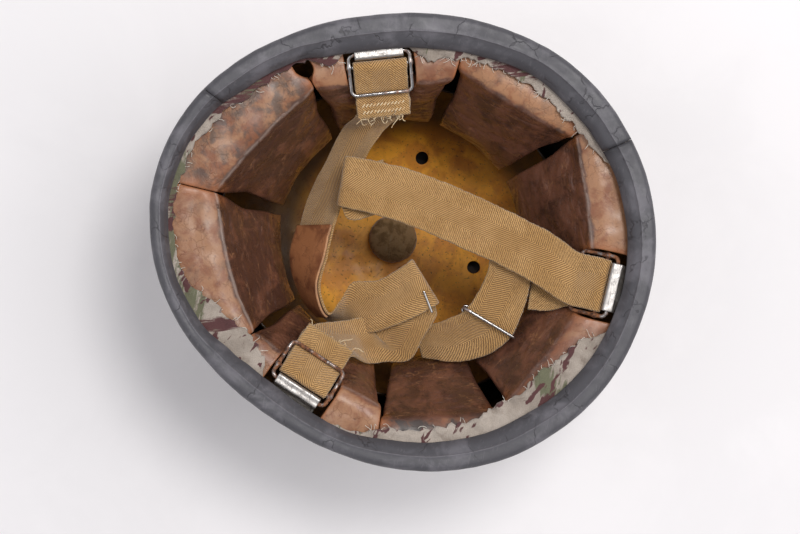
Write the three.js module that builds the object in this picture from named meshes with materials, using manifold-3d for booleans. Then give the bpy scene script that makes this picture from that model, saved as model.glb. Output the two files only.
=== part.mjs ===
// A paratrooper helmet lying on its crown with the opening upwards: a steel
// bowl in a camouflage cloth cover whose edge is turned in under a rubber
// rim, a padded leather liner, a crown dome and a chin harness on three clips.
// Millimetres, +Z up. +X is the wearer's back and +Y the wearer's left.
import * as THREE from "three";
import { mergeVertices } from "three/addons/utils/BufferGeometryUtils.js";
import Module from "manifold-3d";

const wasm = await Module();
wasm.setup();

// Driving dimensions. A depth is measured down from the plane of the rim, and
// an inset inwards from the outline of the rubber.
const RIM_LENGTH = 280;
const RIM_WIDTH = 250;
const HEIGHT = 165;
const EGG = 3; // the outline is blunt at the back and drawn in at the sides
const FULLNESS = 2.4; // exponent of the bowl's profile, 2 being an ellipse
const CROWN_FLAT = 14; // radius of the flattened crown that it rests on
const AROUND = 48; // sides of every bowl
const GAP = 0.3;
const FULL_TURN = 2 * Math.PI;

const RUBBER_WALL = 2;
const COVER = { outer: 2.3, inner: 3.3 };
const STEEL = { outer: 3.6, inner: 4.8, rimDepth: 3.6 };
const DOME = { outer: 13, inner: 14.6, rimDepth: 98 };
const BOWL_STEPS = [11, 22, 33, 45, 57, 69, 79, 85]; // degrees from crown to rim

const VENT = { count: 4, radius: 4, pitchRadius: 54, turn: -6, sides: 12 };
const WEBBING = { width: 30, wall: 1.6 };
const LEATHER_WALL = 1.5;
const WIRE = { radius: 1.1, sides: 6 };
const CLIP = { width: 27, halfHeight: 2, halfDepth: 3.25, bore: 1.4, inset: 4.5, depth: 12, plate: 1.4, drop: 24, seat: 1.2 };
const RING = { halfWidth: 17, length: 23, crossBar: 7, corner: 3 };

const radians = THREE.MathUtils.degToRad;

// ---------------------------------------------------------------- materials

function finish(color, roughness, metalness = 0) {
  return new THREE.MeshStandardMaterial({ color, roughness, metalness });
}

const RUBBER = finish("#5a5860", 0.6);
const COVER_CLOTH = finish("#8f8a78", 0.95);
const PAINTED_STEEL = finish("#191817", 0.7, 0.3);
const OCHRE = finish("#a8722c", 0.6);
const LEATHER = finish("#6b4032", 0.5);
const FELT = finish("#5a4634", 0.95);
const WEB = finish("#9a7a50", 0.95);
const ALUMINIUM = finish("#c9c7c6", 0.4, 0.9);
const STEEL_WIRE = finish("#9a8a80", 0.4, 0.8);

// ------------------------------------------------------------ solid helpers

// Joins a row of closed loops, each with the same number of points, into one
// solid. A closed run of loops goes round; an open one is capped, either from
// the flat section given or as a strip between its upper and lower points. A
// wall's two faces, the halves of the loop, are divided alike, so that a
// twisted wall keeps its thickness.
function skin(loops, { closed = false, section = null } = {}) {
  const count = loops[0].length;
  const triangles = [];
  const quad = (a, b, c, d, front) => triangles.push(...(front ? [[a, b, c], [a, c, d]] : [[a, b, d], [b, c, d]]));
  const last = closed ? loops.length : loops.length - 1;
  for (let i = 0; i < last; i++) {
    const next = ((i + 1) % loops.length) * count;
    for (let j = 0; j < count; j++) {
      const k = (j + 1) % count;
      quad(i * count + j, i * count + k, next + k, next + j, j < count / 2);
    }
  }
  if (!closed) {
    const end = (loops.length - 1) * count;
    const cap = section
      ? THREE.ShapeUtils.triangulateShape(section, [])
      : stripBetween(count);
    const sense = section && THREE.ShapeUtils.area(section) < 0 ? -1 : 1;
    for (const [a, b, c] of cap) {
      const [first, second] = sense > 0 ? [c, b] : [b, c];
      triangles.push([a, first, second], [end + a, end + second, end + first]);
    }
  }
  return solid(loops.flat(), triangles);
}

function stripBetween(count) {
  const faces = [];
  for (let j = 0; j < count / 2 - 1; j++) {
    const [a, b, c, d] = [j, j + 1, count - 2 - j, count - 1 - j];
    faces.push([a, b, c], [a, c, d]);
  }
  return faces;
}

// Merges points that meet, drops faces that have no area left and turns the
// faces outwards.
function solid(points, triangles) {
  const raw = new THREE.BufferGeometry();
  raw.setAttribute("position", new THREE.Float32BufferAttribute(points.flatMap((p) => p.toArray()), 3));
  raw.setIndex(triangles.flat());
  const merged = mergeVertices(raw, 1e-3);
  const position = merged.getAttribute("position");
  const corner = (i) => new THREE.Vector3().fromBufferAttribute(position, i);
  const kept = [];
  let volume = 0;
  for (let i = 0; i < merged.index.count; i += 3) {
    const [a, b, c] = [0, 1, 2].map((k) => merged.index.getX(i + k));
    if (a === b || b === c || c === a) continue;
    kept.push([a, b, c]);
    volume += corner(a).dot(corner(b).cross(corner(c)));
  }
  merged.setIndex(volume > 0 ? kept.flat() : kept.flatMap(([a, b, c]) => [a, c, b]));
  return merged;
}

function manifold(geometry) {
  const bare = geometry.clone();
  bare.deleteAttribute("normal");
  bare.deleteAttribute("uv");
  const merged = mergeVertices(bare, 1e-3);
  return new wasm.Manifold(new wasm.Mesh({
    numProp: 3,
    vertProperties: new Float32Array(merged.getAttribute("position").array),
    triVerts: new Uint32Array(merged.index.array),
  }));
}

function geometryOf(body) {
  const mesh = body.getMesh();
  const geometry = new THREE.BufferGeometry();
  geometry.setAttribute("position", new THREE.Float32BufferAttribute(mesh.vertProperties, 3));
  geometry.setIndex([...mesh.triVerts]);
  return geometry;
}

const helmet = new THREE.Group();

function add(name, geometry, material) {
  const shown = geometry.index ? geometry.toNonIndexed() : geometry;
  shown.computeVertexNormals();
  const mesh = new THREE.Mesh(shown, material);
  mesh.name = name;
  helmet.add(mesh);
  return mesh;
}

// --------------------------------------------------------- the bowl's shape

function rimRadius(angle) {
  const [a, b] = [RIM_LENGTH / 2, RIM_WIDTH / 2];
  const ellipse = (a * b) / Math.hypot(b * Math.cos(angle), a * Math.sin(angle));
  return ellipse - EGG * Math.cos(3 * angle);
}

const bowlDepth = (inset) => HEIGHT + COVER.outer - inset;

function bowlRadius(angle, inset, depth) {
  const level = Math.min(depth / bowlDepth(inset), 1);
  return (rimRadius(angle) - inset) * (1 - level ** FULLNESS) ** (1 / FULLNESS);
}

// A point by its angle, its distance from the middle and its depth. The rim's
// middle lies EGG behind the crown, so that the two ends reach equally far.
function place(angle, radius, depth) {
  const shift = EGG * (1 - depth / HEIGHT);
  return new THREE.Vector3(radius * Math.cos(angle) + shift, radius * Math.sin(angle), HEIGHT - depth);
}

// The same radius on the flat-sided wall, which pieces that lie on it follow.
function facetRadius(angle, inset, depth) {
  const line = bowlLine(angle, inset, 0);
  const above = line.findIndex(([, ringDepth]) => ringDepth < depth);
  const [lower, upper] = [line[above - 1], line[above]];
  return THREE.MathUtils.mapLinear(depth, lower[1], upper[1], lower[0], upper[0]);
}

// The profile of one bowl surface from the pole up to a given depth.
function bowlLine(angle, inset, rimDepth) {
  const deepest = bowlDepth(inset);
  const line = [[0, deepest], [CROWN_FLAT, deepest]];
  for (const degrees of BOWL_STEPS) {
    const depth = deepest * Math.cos(radians(degrees)) ** (2 / FULLNESS);
    if (depth > rimDepth + 5) line.push([bowlRadius(angle, inset, depth), depth]);
  }
  line.push([bowlRadius(angle, inset, rimDepth), rimDepth]);
  return line;
}

function aroundTheBowl(loopAt) {
  return Array.from({ length: AROUND }, (_, i) => {
    const angle = (FULL_TURN * i) / AROUND;
    return loopAt(angle).map(([radius, depth]) => place(angle, radius, depth));
  });
}

function bowlWall(outer, inner, rimDepth) {
  return aroundTheBowl((angle) => [
    ...bowlLine(angle, outer, rimDepth),
    ...bowlLine(angle, inner, rimDepth).reverse(),
  ]);
}

// Width of the rubber as seen from above: widest at the sides, least in front.
const lipWidth = (angle) => 15.2 + 2.5 * Math.cos(angle) - 2.25 * Math.cos(2 * angle);

// -------------------------------------------------------- shell, cover, rim

function makeShell() {
  add("steel_shell", skin(bowlWall(STEEL.outer, STEEL.inner, STEEL.rimDepth), { closed: true }), PAINTED_STEEL);
}

// How far the torn edge of the cover reaches in past the rubber.
const HEM_REACH = [
  { at: 0, reach: -2 }, { at: 30, reach: -1.5 }, { at: 42, reach: 3 }, { at: 52, reach: 8 },
  { at: 66, reach: 7 }, { at: 84, reach: 4 }, { at: 98, reach: 5 }, { at: 105, reach: -2 },
  { at: 120, reach: -2 }, { at: 127, reach: 6 }, { at: 135, reach: 1 }, { at: 150, reach: 8 },
  { at: 162, reach: 7 }, { at: 172, reach: 3 }, { at: 186, reach: 3 }, { at: 202, reach: 7 },
  { at: 216, reach: 13 }, { at: 226, reach: 14 }, { at: 233, reach: 8 }, { at: 239, reach: -2 },
  { at: 256, reach: -2 }, { at: 266, reach: 1 }, { at: 280, reach: 6 }, { at: 300, reach: 8 },
  { at: 315, reach: 11 }, { at: 330, reach: 14 }, { at: 342, reach: 10 }, { at: 350, reach: -2 },
  { at: 360, reach: -2 },
];

function hemReach(angle) {
  const degrees = THREE.MathUtils.euclideanModulo(THREE.MathUtils.radToDeg(angle), 360);
  const next = HEM_REACH.findIndex((row) => row.at > degrees);
  const [from, to] = [HEM_REACH[next - 1], HEM_REACH[next]];
  const share = (degrees - from.at) / (to.at - from.at);
  return THREE.MathUtils.lerp(from.reach, to.reach, share);
}

function makeCover() {
  const loops = aroundTheBowl((angle) => {
    const at = (inset, depth) => [bowlRadius(angle, inset, depth), depth];
    const lip = lipWidth(angle);
    const edge = lip + hemReach(angle);
    return [
      ...bowlLine(angle, COVER.outer, 3.2),
      at(2.9, 2.3), at(5.6, 2.3), at(6.1, 3.6),
      at(lip - 2.5, 9.9), at(edge, 12.5), at(edge - 0.3, 13.5), at(lip - 3.5, 10.8),
      at(5.1, 4.2), at(4.9, 3.3),
      ...bowlLine(angle, COVER.inner, 3.3).reverse(),
    ];
  });
  add("cloth_cover", skin(loops, { closed: true }), COVER_CLOTH);
}

// The rubber is a strip folded over the rim, in two lengths that butt.
const RUBBER_LENGTHS = [
  { name: "rim_rubber_left", from: 5, to: 21 },
  { name: "rim_rubber_right", from: 21, to: 5 + AROUND },
];

function rubberSection(angle) {
  const lip = lipWidth(angle);
  return [
    [0.5, 22], [0, 18], [0, 11], [0, 4.2], [1.6, 1], [4.8, 0], [8.4, 0.8], [lip - 0.6, 7.8], [lip - 0.2, 9.6],
    [6.4, RUBBER_WALL], [2.3, RUBBER_WALL], [RUBBER_WALL, 2.6], [RUBBER_WALL, 12], [RUBBER_WALL, 22],
  ];
}

function makeRimRubber() {
  for (const { name, from, to } of RUBBER_LENGTHS) {
    const loops = [];
    for (let i = from; i <= to; i++) {
      const angle = (FULL_TURN * i) / AROUND;
      const backOff = i === from ? GAP / 2 : i === to ? -GAP / 2 : 0;
      const along = new THREE.Vector3(-Math.sin(angle), Math.cos(angle), 0).multiplyScalar(backOff);
      loops.push(rubberSection(angle).map(([inset, depth]) =>
        place(angle, bowlRadius(angle, inset, depth), depth).add(along)));
    }
    const flat = rubberSection((FULL_TURN * from) / AROUND).map(([u, d]) => new THREE.Vector2(u, d));
    add(name, skin(loops, { section: flat }), RUBBER);
  }
}

// ----------------------------------------------------------------- the crown

function makeCrown() {
  let dome = manifold(skin(bowlWall(DOME.outer, DOME.inner, DOME.rimDepth), { closed: true }));
  for (let i = 0; i < VENT.count; i++) {
    const angle = radians(VENT.turn) + (FULL_TURN * i) / VENT.count;
    const drill = new THREE.CylinderGeometry(VENT.radius, VENT.radius, 60, VENT.sides);
    drill.rotateX(Math.PI / 2);
    drill.translate(VENT.pitchRadius * Math.cos(angle), VENT.pitchRadius * Math.sin(angle), 30);
    dome = dome.subtract(manifold(drill));
  }
  add("crown_dome", geometryOf(dome), OCHRE);

  const steelTop = HEIGHT - bowlDepth(STEEL.inner);
  const domeUnder = HEIGHT - bowlDepth(DOME.outer);
  const domeTop = HEIGHT - bowlDepth(DOME.inner);
  add("crown_spacer", turned([[0, steelTop + GAP], [12, steelTop + GAP], [12, domeUnder - GAP], [0, domeUnder - GAP]]), RUBBER);
  const seat = domeTop + GAP;
  add("crown_pad", turned([[0, seat], [13.4, seat], [15.3, seat + 3], [15, seat + 6.5], [12.5, seat + 8], [0, seat + 8.4]]), FELT);
}

function polygon(sides) {
  return Array.from({ length: sides }, (_, i) => {
    const turn = (FULL_TURN * i) / sides;
    return new THREE.Vector2(Math.cos(turn), Math.sin(turn));
  });
}

function turned(profile) {
  const lathe = new THREE.LatheGeometry(profile.map(([x, y]) => new THREE.Vector2(x, y)), 24);
  lathe.rotateX(Math.PI / 2);
  const bare = mergeVertices(withoutExtras(lathe), 1e-3);
  return solid(pointsOf(bare), trianglesOf(bare));
}

function withoutExtras(geometry) {
  geometry.deleteAttribute("normal");
  geometry.deleteAttribute("uv");
  return geometry;
}

function pointsOf(geometry) {
  const position = geometry.getAttribute("position");
  return Array.from({ length: position.count }, (_, i) => new THREE.Vector3().fromBufferAttribute(position, i));
}

function trianglesOf(geometry) {
  const faces = [];
  for (let i = 0; i < geometry.index.count; i += 3) {
    faces.push([0, 1, 2].map((k) => geometry.index.getX(i + k)));
  }
  return faces;
}

// ----------------------------------------------------------------- the liner

// Ten padded leather fingers hang from a ledge round the rim. Angles in
// degrees from the back; a ledge is its width from the steel to the bend at
// each end, and bow is how far the bend is rounded outwards between them.
const PADS = [
  { name: "liner_pad_left_1", from: 0, to: 45, ledgeFrom: 21, ledgeTo: 14, bow: 2 },
  { name: "liner_pad_left_2", from: 45, to: 87, ledgeFrom: 17, ledgeTo: 18, bow: -1 },
  { name: "liner_pad_left_3", from: 87, to: 112.5, ledgeFrom: 25, ledgeTo: 30, bow: 0 },
  { name: "liner_pad_left_4", from: 112.5, to: 135, ledgeFrom: 30, ledgeTo: 24, bow: 0 },
  { name: "liner_pad_left_5", from: 135, to: 180, ledgeFrom: 23, ledgeTo: 25.5, bow: 2 },
  { name: "liner_pad_right_5", from: 180, to: 225, ledgeFrom: 26, ledgeTo: 21, bow: 4 },
  { name: "liner_pad_right_4", from: 225, to: 247.5, ledgeFrom: 20, ledgeTo: 26, bow: 0 },
  { name: "liner_pad_right_3", from: 247.5, to: 275, ledgeFrom: 26, ledgeTo: 22, bow: 0 },
  { name: "liner_pad_right_2", from: 275, to: 313, ledgeFrom: 16, ledgeTo: 14, bow: 2 },
  { name: "liner_pad_right_1", from: 313, to: 360, ledgeFrom: 16, ledgeTo: 20, bow: 2 },
];
const CLIP_ANGLES = { rear: 0, left: 112.5, right: 247.5 };
// Half the open slot at each seam between fingers: where the ledge stands off
// the steel, at the bend, and further and further down the finger.
const CLIP_SEAM = { rim: 19.5, bend: 19.5, neck: 16.5, key: 6, low: 3, tip: 4 };
const SEAMS = [
  { at: CLIP_ANGLES.rear, ...CLIP_SEAM },
  { at: 45, rim: 8, bend: 0.4, neck: 1, key: 3.6, low: 3.4, tip: 4 },
  { at: 87, rim: 0.4, bend: 0.4, neck: 3.2, key: 4.5, low: 3, tip: 3.5 },
  { at: CLIP_ANGLES.left, ...CLIP_SEAM },
  { at: 135, rim: 5, bend: 0.4, neck: 1, key: 4, low: 2.6, tip: 3.2 },
  { at: 180, rim: 0.4, bend: 0.4, neck: 0.6, key: 4.5, low: 3, tip: 3 },
  { at: 225, rim: 6, bend: 0.4, neck: 1, key: 3, low: 1.6, tip: 2 },
  { at: CLIP_ANGLES.right, ...CLIP_SEAM },
  { at: 275, rim: 0.4, bend: 0.4, neck: 2, key: 3.5, low: 5, tip: 7 },
  { at: 313, rim: 0.4, bend: 0.4, neck: 4.2, key: 4, low: 2, tip: 1.4 },
];
// Down a finger: share is how far the plan distance from bend to tip is covered.
const PAD_ROWS = [
  { ledge: 0, share: 0, depth: 17.8, wall: 6.4, seam: "rim" },
  { ledge: 0.55, share: 0, depth: 18.4, wall: 7.6, seam: "rim" },
  { ledge: 0.93, share: 0, depth: 20.5, wall: 9, seam: "bend" },
  { ledge: 1, share: 0.1, depth: 31, wall: 10, seam: "neck" },
  { ledge: 1, share: 0.42, depth: 50, wall: 9.5, seam: "key" },
  { ledge: 1, share: 0.78, depth: 69, wall: 8, seam: "low" },
  { ledge: 1, share: 1, depth: 84, wall: 3.5, seam: "tip" },
];
const PAD_TIP_RADIUS = 72;
const PAD_COLUMNS = [0, 0.08, 0.3, 0.5, 0.7, 0.92, 1];
const PAD_PUFF = [0.4, 0.85, 1, 1.04, 1, 0.85, 0.4];

// The bend runs nearly straight from one end of the ledge to the other.
function bendRadius(pad, angle) {
  const [first, last] = [radians(pad.from), radians(pad.to)];
  const reach = (end, ledge) => facetRadius(end, STEEL.inner, PAD_ROWS[2].depth) - ledge;
  const [a, b] = [reach(first, pad.ledgeFrom), reach(last, pad.ledgeTo)];
  const straight = (a * b * Math.sin(last - first)) / (a * Math.sin(angle - first) + b * Math.sin(last - angle));
  return straight + pad.bow * Math.sin((Math.PI * (angle - first)) / (last - first));
}

function padCentre(pad, row, angle) {
  const wall = facetRadius(angle, STEEL.inner, row.depth + row.wall / 2) - 2 * GAP;
  const bend = bendRadius(pad, angle);
  const radius = row.ledge < 1
    ? THREE.MathUtils.lerp(wall, bend, row.ledge)
    : THREE.MathUtils.lerp(bend, PAD_TIP_RADIUS, row.share);
  return new THREE.Vector2(radius, row.depth);
}

function halfSlot(row, degrees) {
  return SEAMS.find((seam) => seam.at === degrees % 360)[row.seam];
}

function makePads() {
  for (const pad of PADS) {
    const loops = PAD_ROWS.map((row, i) => {
      const middle = radians((pad.from + pad.to) / 2);
      const reach = padCentre(pad, row, middle).x;
      const start = radians(pad.from) + halfSlot(row, pad.from) / reach;
      const stop = radians(pad.to) - halfSlot(row, pad.to) / reach;
      const [upper, lower] = [[], []];
      PAD_COLUMNS.forEach((share, column) => {
        const angle = THREE.MathUtils.lerp(start, stop, share);
        const here = padCentre(pad, row, angle);
        const before = padCentre(pad, PAD_ROWS[Math.max(i - 1, 0)], angle);
        const after = padCentre(pad, PAD_ROWS[Math.min(i + 1, PAD_ROWS.length - 1)], angle);
        const along = after.sub(before).normalize();
        const half = (row.wall * PAD_PUFF[column]) / 2;
        const across = i === 0 ? new THREE.Vector2(0, -half) : new THREE.Vector2(-along.y, along.x).multiplyScalar(half);
        if (across.y > 0) across.negate();
        upper.push(place(angle, here.x + across.x, here.y + across.y));
        lower.unshift(place(angle, here.x - across.x, here.y - across.y));
      });
      return [...upper, ...lower];
    });
    add(pad.name, skin(loops), LEATHER);
  }
}

// -------------------------------------------------------- clips and their rings

// Each clip has a frame of its own: inwards and down along its ring, across it
// along the rim, and up from the ring's plane.
const CLIPS = {
  rear: { degrees: CLIP_ANGLES.rear, slope: 35 },
  left: { degrees: CLIP_ANGLES.left, slope: 18 },
  right: { degrees: CLIP_ANGLES.right, slope: 18 },
};

function clipFrame({ degrees, slope }) {
  const angle = radians(degrees);
  const inset = lipWidth(angle) + CLIP.inset;
  const origin = place(angle, bowlRadius(angle, inset, CLIP.depth), CLIP.depth);
  const [before, after] = [-0.01, 0.01].map((step) => place(angle + step, rimRadius(angle + step), 0));
  const across = after.sub(before).normalize();
  const outward = new THREE.Vector3(across.y, -across.x, 0);
  const tilt = radians(slope);
  const inward = outward.clone().multiplyScalar(-Math.cos(tilt)).add(new THREE.Vector3(0, 0, -Math.sin(tilt)));
  const up = outward.clone().multiplyScalar(-Math.sin(tilt)).add(new THREE.Vector3(0, 0, Math.cos(tilt)));
  const point = (along, height, side) => origin.clone()
    .addScaledVector(inward, along).addScaledVector(up, height).addScaledVector(across, side);
  return { angle, inset, origin, outward, across, point };
}

// A plate that lies on the steel below the rim, turned over into a sleeve.
function makeClip(name, frame) {
  const { halfDepth: d, halfHeight: h, plate, drop } = CLIP;
  const wallAt = (fall) => {
    const depth = CLIP.depth + fall;
    const steel = place(frame.angle, facetRadius(frame.angle, STEEL.inner, depth), depth);
    return steel.sub(frame.origin).dot(frame.outward) - CLIP.seat;
  };
  const [knee, foot] = [wallAt(5.4), wallAt(drop)];
  const outline = new THREE.Shape([
    [-d, 0.8], [-2.4, h], [2.4, h], [d, 0.8], [d, -0.9], [knee - 0.3, -4.6], [knee, -5.4], [foot, -drop],
    [foot - plate, -drop], [knee - plate, -6.4], [2.4, -2.8], [1.8, -h], [-2.4, -h], [-d, -0.8],
  ].map(([x, y]) => new THREE.Vector2(x, y)));
  outline.holes.push(new THREE.Path(polygon(8).map((corner) => corner.multiplyScalar(CLIP.bore))));
  const body = new THREE.ExtrudeGeometry(outline, { depth: CLIP.width, bevelEnabled: false, curveSegments: 8 });
  body.translate(0, 0, -CLIP.width / 2);
  const upright = new THREE.Matrix4().makeBasis(frame.outward, new THREE.Vector3(0, 0, 1), frame.across.clone().negate());
  body.applyMatrix4(upright.setPosition(frame.origin));
  add(name, body, ALUMINIUM);
}

// A round wire along a closed row of points.
function wireLoop(points, radius) {
  const count = points.length;
  const loops = points.map((point, i) => {
    const before = points[(i + count - 1) % count];
    const after = points[(i + 1) % count];
    const into = point.clone().sub(before).normalize();
    const out = after.clone().sub(point).normalize();
    return wireSection(point, into.add(out).normalize(), planeNormal(points), radius);
  });
  return skin(loops, { closed: true });
}

function planeNormal(points) {
  const [a, b, c] = [0, 1, 2].map((k) => points[Math.floor((k * points.length) / 3)]);
  return b.clone().sub(a).cross(c.clone().sub(a)).normalize();
}

function wireSection(point, along, upright, radius) {
  const side = along.clone().cross(upright).normalize();
  return Array.from({ length: WIRE.sides }, (_, i) => {
    const turn = (FULL_TURN * i) / WIRE.sides;
    return point.clone().addScaledVector(side, radius * Math.cos(turn)).addScaledVector(upright, radius * Math.sin(turn));
  });
}

// The corners of a rounded rectangle, three points to a corner.
function roundedRectangle(from, to, halfWidth, corner) {
  const quarter = [0, Math.PI / 4, Math.PI / 2];
  const corners = [
    { along: to - corner, side: halfWidth - corner, turn: 0 },
    { along: from + corner, side: halfWidth - corner, turn: Math.PI / 2 },
    { along: from + corner, side: corner - halfWidth, turn: Math.PI },
    { along: to - corner, side: corner - halfWidth, turn: 1.5 * Math.PI },
  ];
  return corners.flatMap(({ along, side, turn }) =>
    quarter.map((step) => [along + corner * Math.cos(turn + step), side + corner * Math.sin(turn + step)]));
}

function makeRing(name, frame) {
  const path = roundedRectangle(0, RING.length, RING.halfWidth, RING.corner)
    .map(([along, side]) => frame.point(along, 0, side));
  const bar = [-1, 1].map((end) => {
    const middle = frame.point(RING.crossBar, 0, end * RING.halfWidth);
    return wireSection(middle, frame.across, frame.point(0, 1, 0).sub(frame.origin), WIRE.radius * 0.98);
  });
  const body = manifold(wireLoop(path, WIRE.radius)).add(manifold(skin(bar, { section: polygon(WIRE.sides) })));
  add(name, geometryOf(body), STEEL_WIRE);
}

// --------------------------------------------------------------- the harness

const vector = ([x, y, z]) => new THREE.Vector3(x, y, z);
const edges = (rows) => rows.map(({ a, b }) => ({ a: vector(a), b: vector(b) }));
const centre = ({ a, b }) => a.clone().add(b).multiplyScalar(0.5);

// Rows that carry a strap round the axis from a to b, from one side over the
// outer point to the other side.
function turnRound(row, out, up, radius, steps) {
  return Array.from({ length: steps + 1 }, (_, i) => {
    const turn = (Math.PI * i) / steps;
    const move = up.clone().multiplyScalar(radius * Math.cos(turn)).addScaledVector(out, radius * Math.sin(turn));
    return { a: row.a.clone().add(move), b: row.b.clone().add(move) };
  });
}

// Rows along a clip's ring, from pairs of distance along it and height over it.
function alongRing(frame, pairs, flip = 1) {
  const half = (flip * WEBBING.width) / 2;
  return pairs.map(([along, height]) => ({ a: frame.point(along, height, -half), b: frame.point(along, height, half) }));
}

function roundCrossBar(frame, flip) {
  const [row] = alongRing(frame, [[RING.crossBar, 0]], flip);
  const out = frame.point(-1, 0, 0).sub(frame.origin);
  const up = frame.point(0, 1, 0).sub(frame.origin);
  return turnRound(row, out, up, WIRE.radius + GAP + WEBBING.wall / 2, 4);
}

// Puts extra rows between rows that lie far apart, on a smooth curve.
function smoothed(rows, step = 13) {
  const curves = ["a", "b"].map((side) =>
    new THREE.CatmullRomCurve3(rows.map((row) => row[side]), false, "centripetal"));
  const dense = [];
  rows.forEach((row, i) => {
    dense.push(row);
    if (i === rows.length - 1) return;
    const pieces = Math.ceil(centre(row).distanceTo(centre(rows[i + 1])) / step);
    for (let k = 1; k < pieces; k++) {
      const t = (i + k / pieces) / (rows.length - 1);
      dense.push({ a: curves[0].getPoint(t), b: curves[1].getPoint(t) });
    }
  });
  return dense;
}

function rowNormals(rows) {
  return rows.map((row, i) => {
    const before = centre(rows[Math.max(i - 1, 0)]);
    const after = centre(rows[Math.min(i + 1, rows.length - 1)]);
    return after.sub(before).cross(row.b.clone().sub(row.a)).normalize();
  });
}

function strap(rows, wall) {
  const normals = rowNormals(rows);
  return skin(rows.map(({ a, b }, i) => {
    const half = normals[i].clone().multiplyScalar(wall / 2);
    return [a.clone().add(half), b.clone().add(half), b.clone().sub(half), a.clone().sub(half)];
  }));
}

// The chin strap from the left ring to the right one. Each row is the strap's
// two edges; a fold turns the strap over and under itself.
const CHIN_UPPER = edges([
  { a: [-47, 53, 111], b: [-24, 56, 127] },
  { a: [-52, 33, 98], b: [-32, 32, 116] },
  { a: [-57, 11, 92], b: [-37, 10, 114] },
  { a: [-58, -7, 93], b: [-38, -2, 116] },
  { a: [-58, -24, 93], b: [-38, -21, 117] },
  { a: [-49, -42, 92], b: [-38, -39, 117] },
  { a: [-35, -54, 91], b: [-29, -52, 116] },
  { a: [-19, -60, 95], b: [-25, -43, 114] },
  { a: [-10, -60, 105], b: [-20, -31, 112] },
  { a: [1, -55, 113], b: [-7, -27, 114] },
  { a: [14, -46, 118], b: [3, -18, 118] },
  { a: [29, -33, 121], b: [8, -12, 121] },
]);
const CHIN_LOWER = edges([
  { a: [31, -38, 115], b: [4, -26, 116] },
  { a: [27, -53, 111], b: [-1, -42, 112] },
  { a: [22, -68, 106], b: [-3, -56, 106] },
  { a: [9, -72, 106], b: [-9, -50, 109] },
  { a: [0, -75, 110], b: [-18, -53, 113] },
]);
const LINED = { first: 3, last: 6 };

// The wide strap across the opening, from its folded left end to the rear ring.
const REAR_UNDER = edges([
  { a: [-11, 13, 121], b: [-20, 41, 121] },
  { a: [-31, 3, 124.5], b: [-36, 33, 124.5] },
]);
const REAR_UPPER = edges([
  { a: [-37, 9, 129], b: [-39, 38, 129] },
  { a: [-13, 9, 130], b: [-12, 39, 130] },
  { a: [9, 7, 131], b: [11, 37, 131] },
  { a: [30, 3, 133], b: [35, 33, 133] },
  { a: [52, -1, 135.5], b: [58, 28, 135.5] },
  { a: [76, -7, 139], b: [82, 22, 139] },
]);
const REAR_RETURN = edges([
  { a: [91, -21, 130], b: [88, 9, 130] },
  { a: [80, -23, 127], b: [77, 7, 127] },
]);

// The narrow run from below the wide strap through its slide to the right side.
const BRANCH = edges([
  { a: [75, 13, 135.6], b: [51, 18, 132.4] },
  { a: [76, 4, 135.4], b: [51, 9, 132.2] },
  { a: [78, -18, 128], b: [52, -10, 127.5] },
  { a: [75, -40, 123], b: [46, -31, 123] },
  { a: [67, -52, 117], b: [40, -37, 118] },
  { a: [50, -62, 108], b: [32, -43, 112] },
  { a: [30, -65, 100], b: [20, -48, 105] },
]);
const SLIDE = { halfLength: 16.8, halfWidth: 4.6, corner: 2.4, tilt: 72, wire: 1 };
// A short end of bent wire that shows on the chin strap's fold.
const FOLD_WIRE = { from: [20, -26.5, 122.7], to: [27.6, -37.4, 122.4], radius: 0.7 };

function foldedUnder(row, out, spread) {
  const up = new THREE.Vector3(0, 0, 1);
  const low = { a: row.a.clone().setZ(row.a.z - spread / 2), b: row.b.clone().setZ(row.b.z - spread / 2) };
  return turnRound(low, vector(out).normalize(), up, spread / 2, 2);
}

function chinRows({ left, right }) {
  const fold = CHIN_UPPER.at(-1);
  return smoothed([
    ...alongRing(left, [[37, -3.6], [30, -3.1], [23, -2.6], [15, 0]], -1),
    ...roundCrossBar(left, -1),
    ...alongRing(left, [[15, -4.2], [23, -5.6], [34, -7]], -1),
    ...CHIN_UPPER.slice(0, -1),
    ...foldedUnder(fold, [0.65, 0.76, 0], 4),
    ...CHIN_LOWER,
    ...alongRing(right, [[34, -7], [23, -5.6], [15, -4.2]], -1),
    ...roundCrossBar(right, -1).reverse(),
    ...alongRing(right, [[15, 0], [23, -2.6], [30, -3.1], [37, -3.6]], -1),
  ]);
}

function makeHarness(frames) {
  const chin = chinRows(frames);
  add("chin_strap", strap(chin, WEBBING.wall), WEB);

  const normals = rowNormals(chin);
  const lift = WEBBING.wall / 2 + 2 * GAP + LEATHER_WALL / 2;
  const [first, last] = [LINED.first, LINED.last].map((row) => chin.indexOf(CHIN_UPPER[row]));
  const lining = chin.map(({ a, b }, i) => ({
    a: a.clone().addScaledVector(normals[i], lift),
    b: b.clone().addScaledVector(normals[i], lift),
  })).slice(first, last + 1);
  add("chin_lining", strap(lining, LEATHER_WALL), LEATHER);

  const rear = smoothed([
    ...REAR_UNDER,
    ...foldedUnder(REAR_UPPER[0], [-1, 0, 0], 4).reverse(),
    ...REAR_UPPER.slice(1),
    ...alongRing(frames.rear, [[23, 2.8], [15, 2.6]]),
    ...roundCrossBar(frames.rear),
    ...alongRing(frames.rear, [[15, -3], [23, -3.4]]),
    ...REAR_RETURN,
  ]);
  add("rear_strap", strap(rear, WEBBING.wall), WEB);
  add("branch_strap", strap(smoothed(BRANCH), WEBBING.wall), WEB);
  makeSlide();
}

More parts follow.
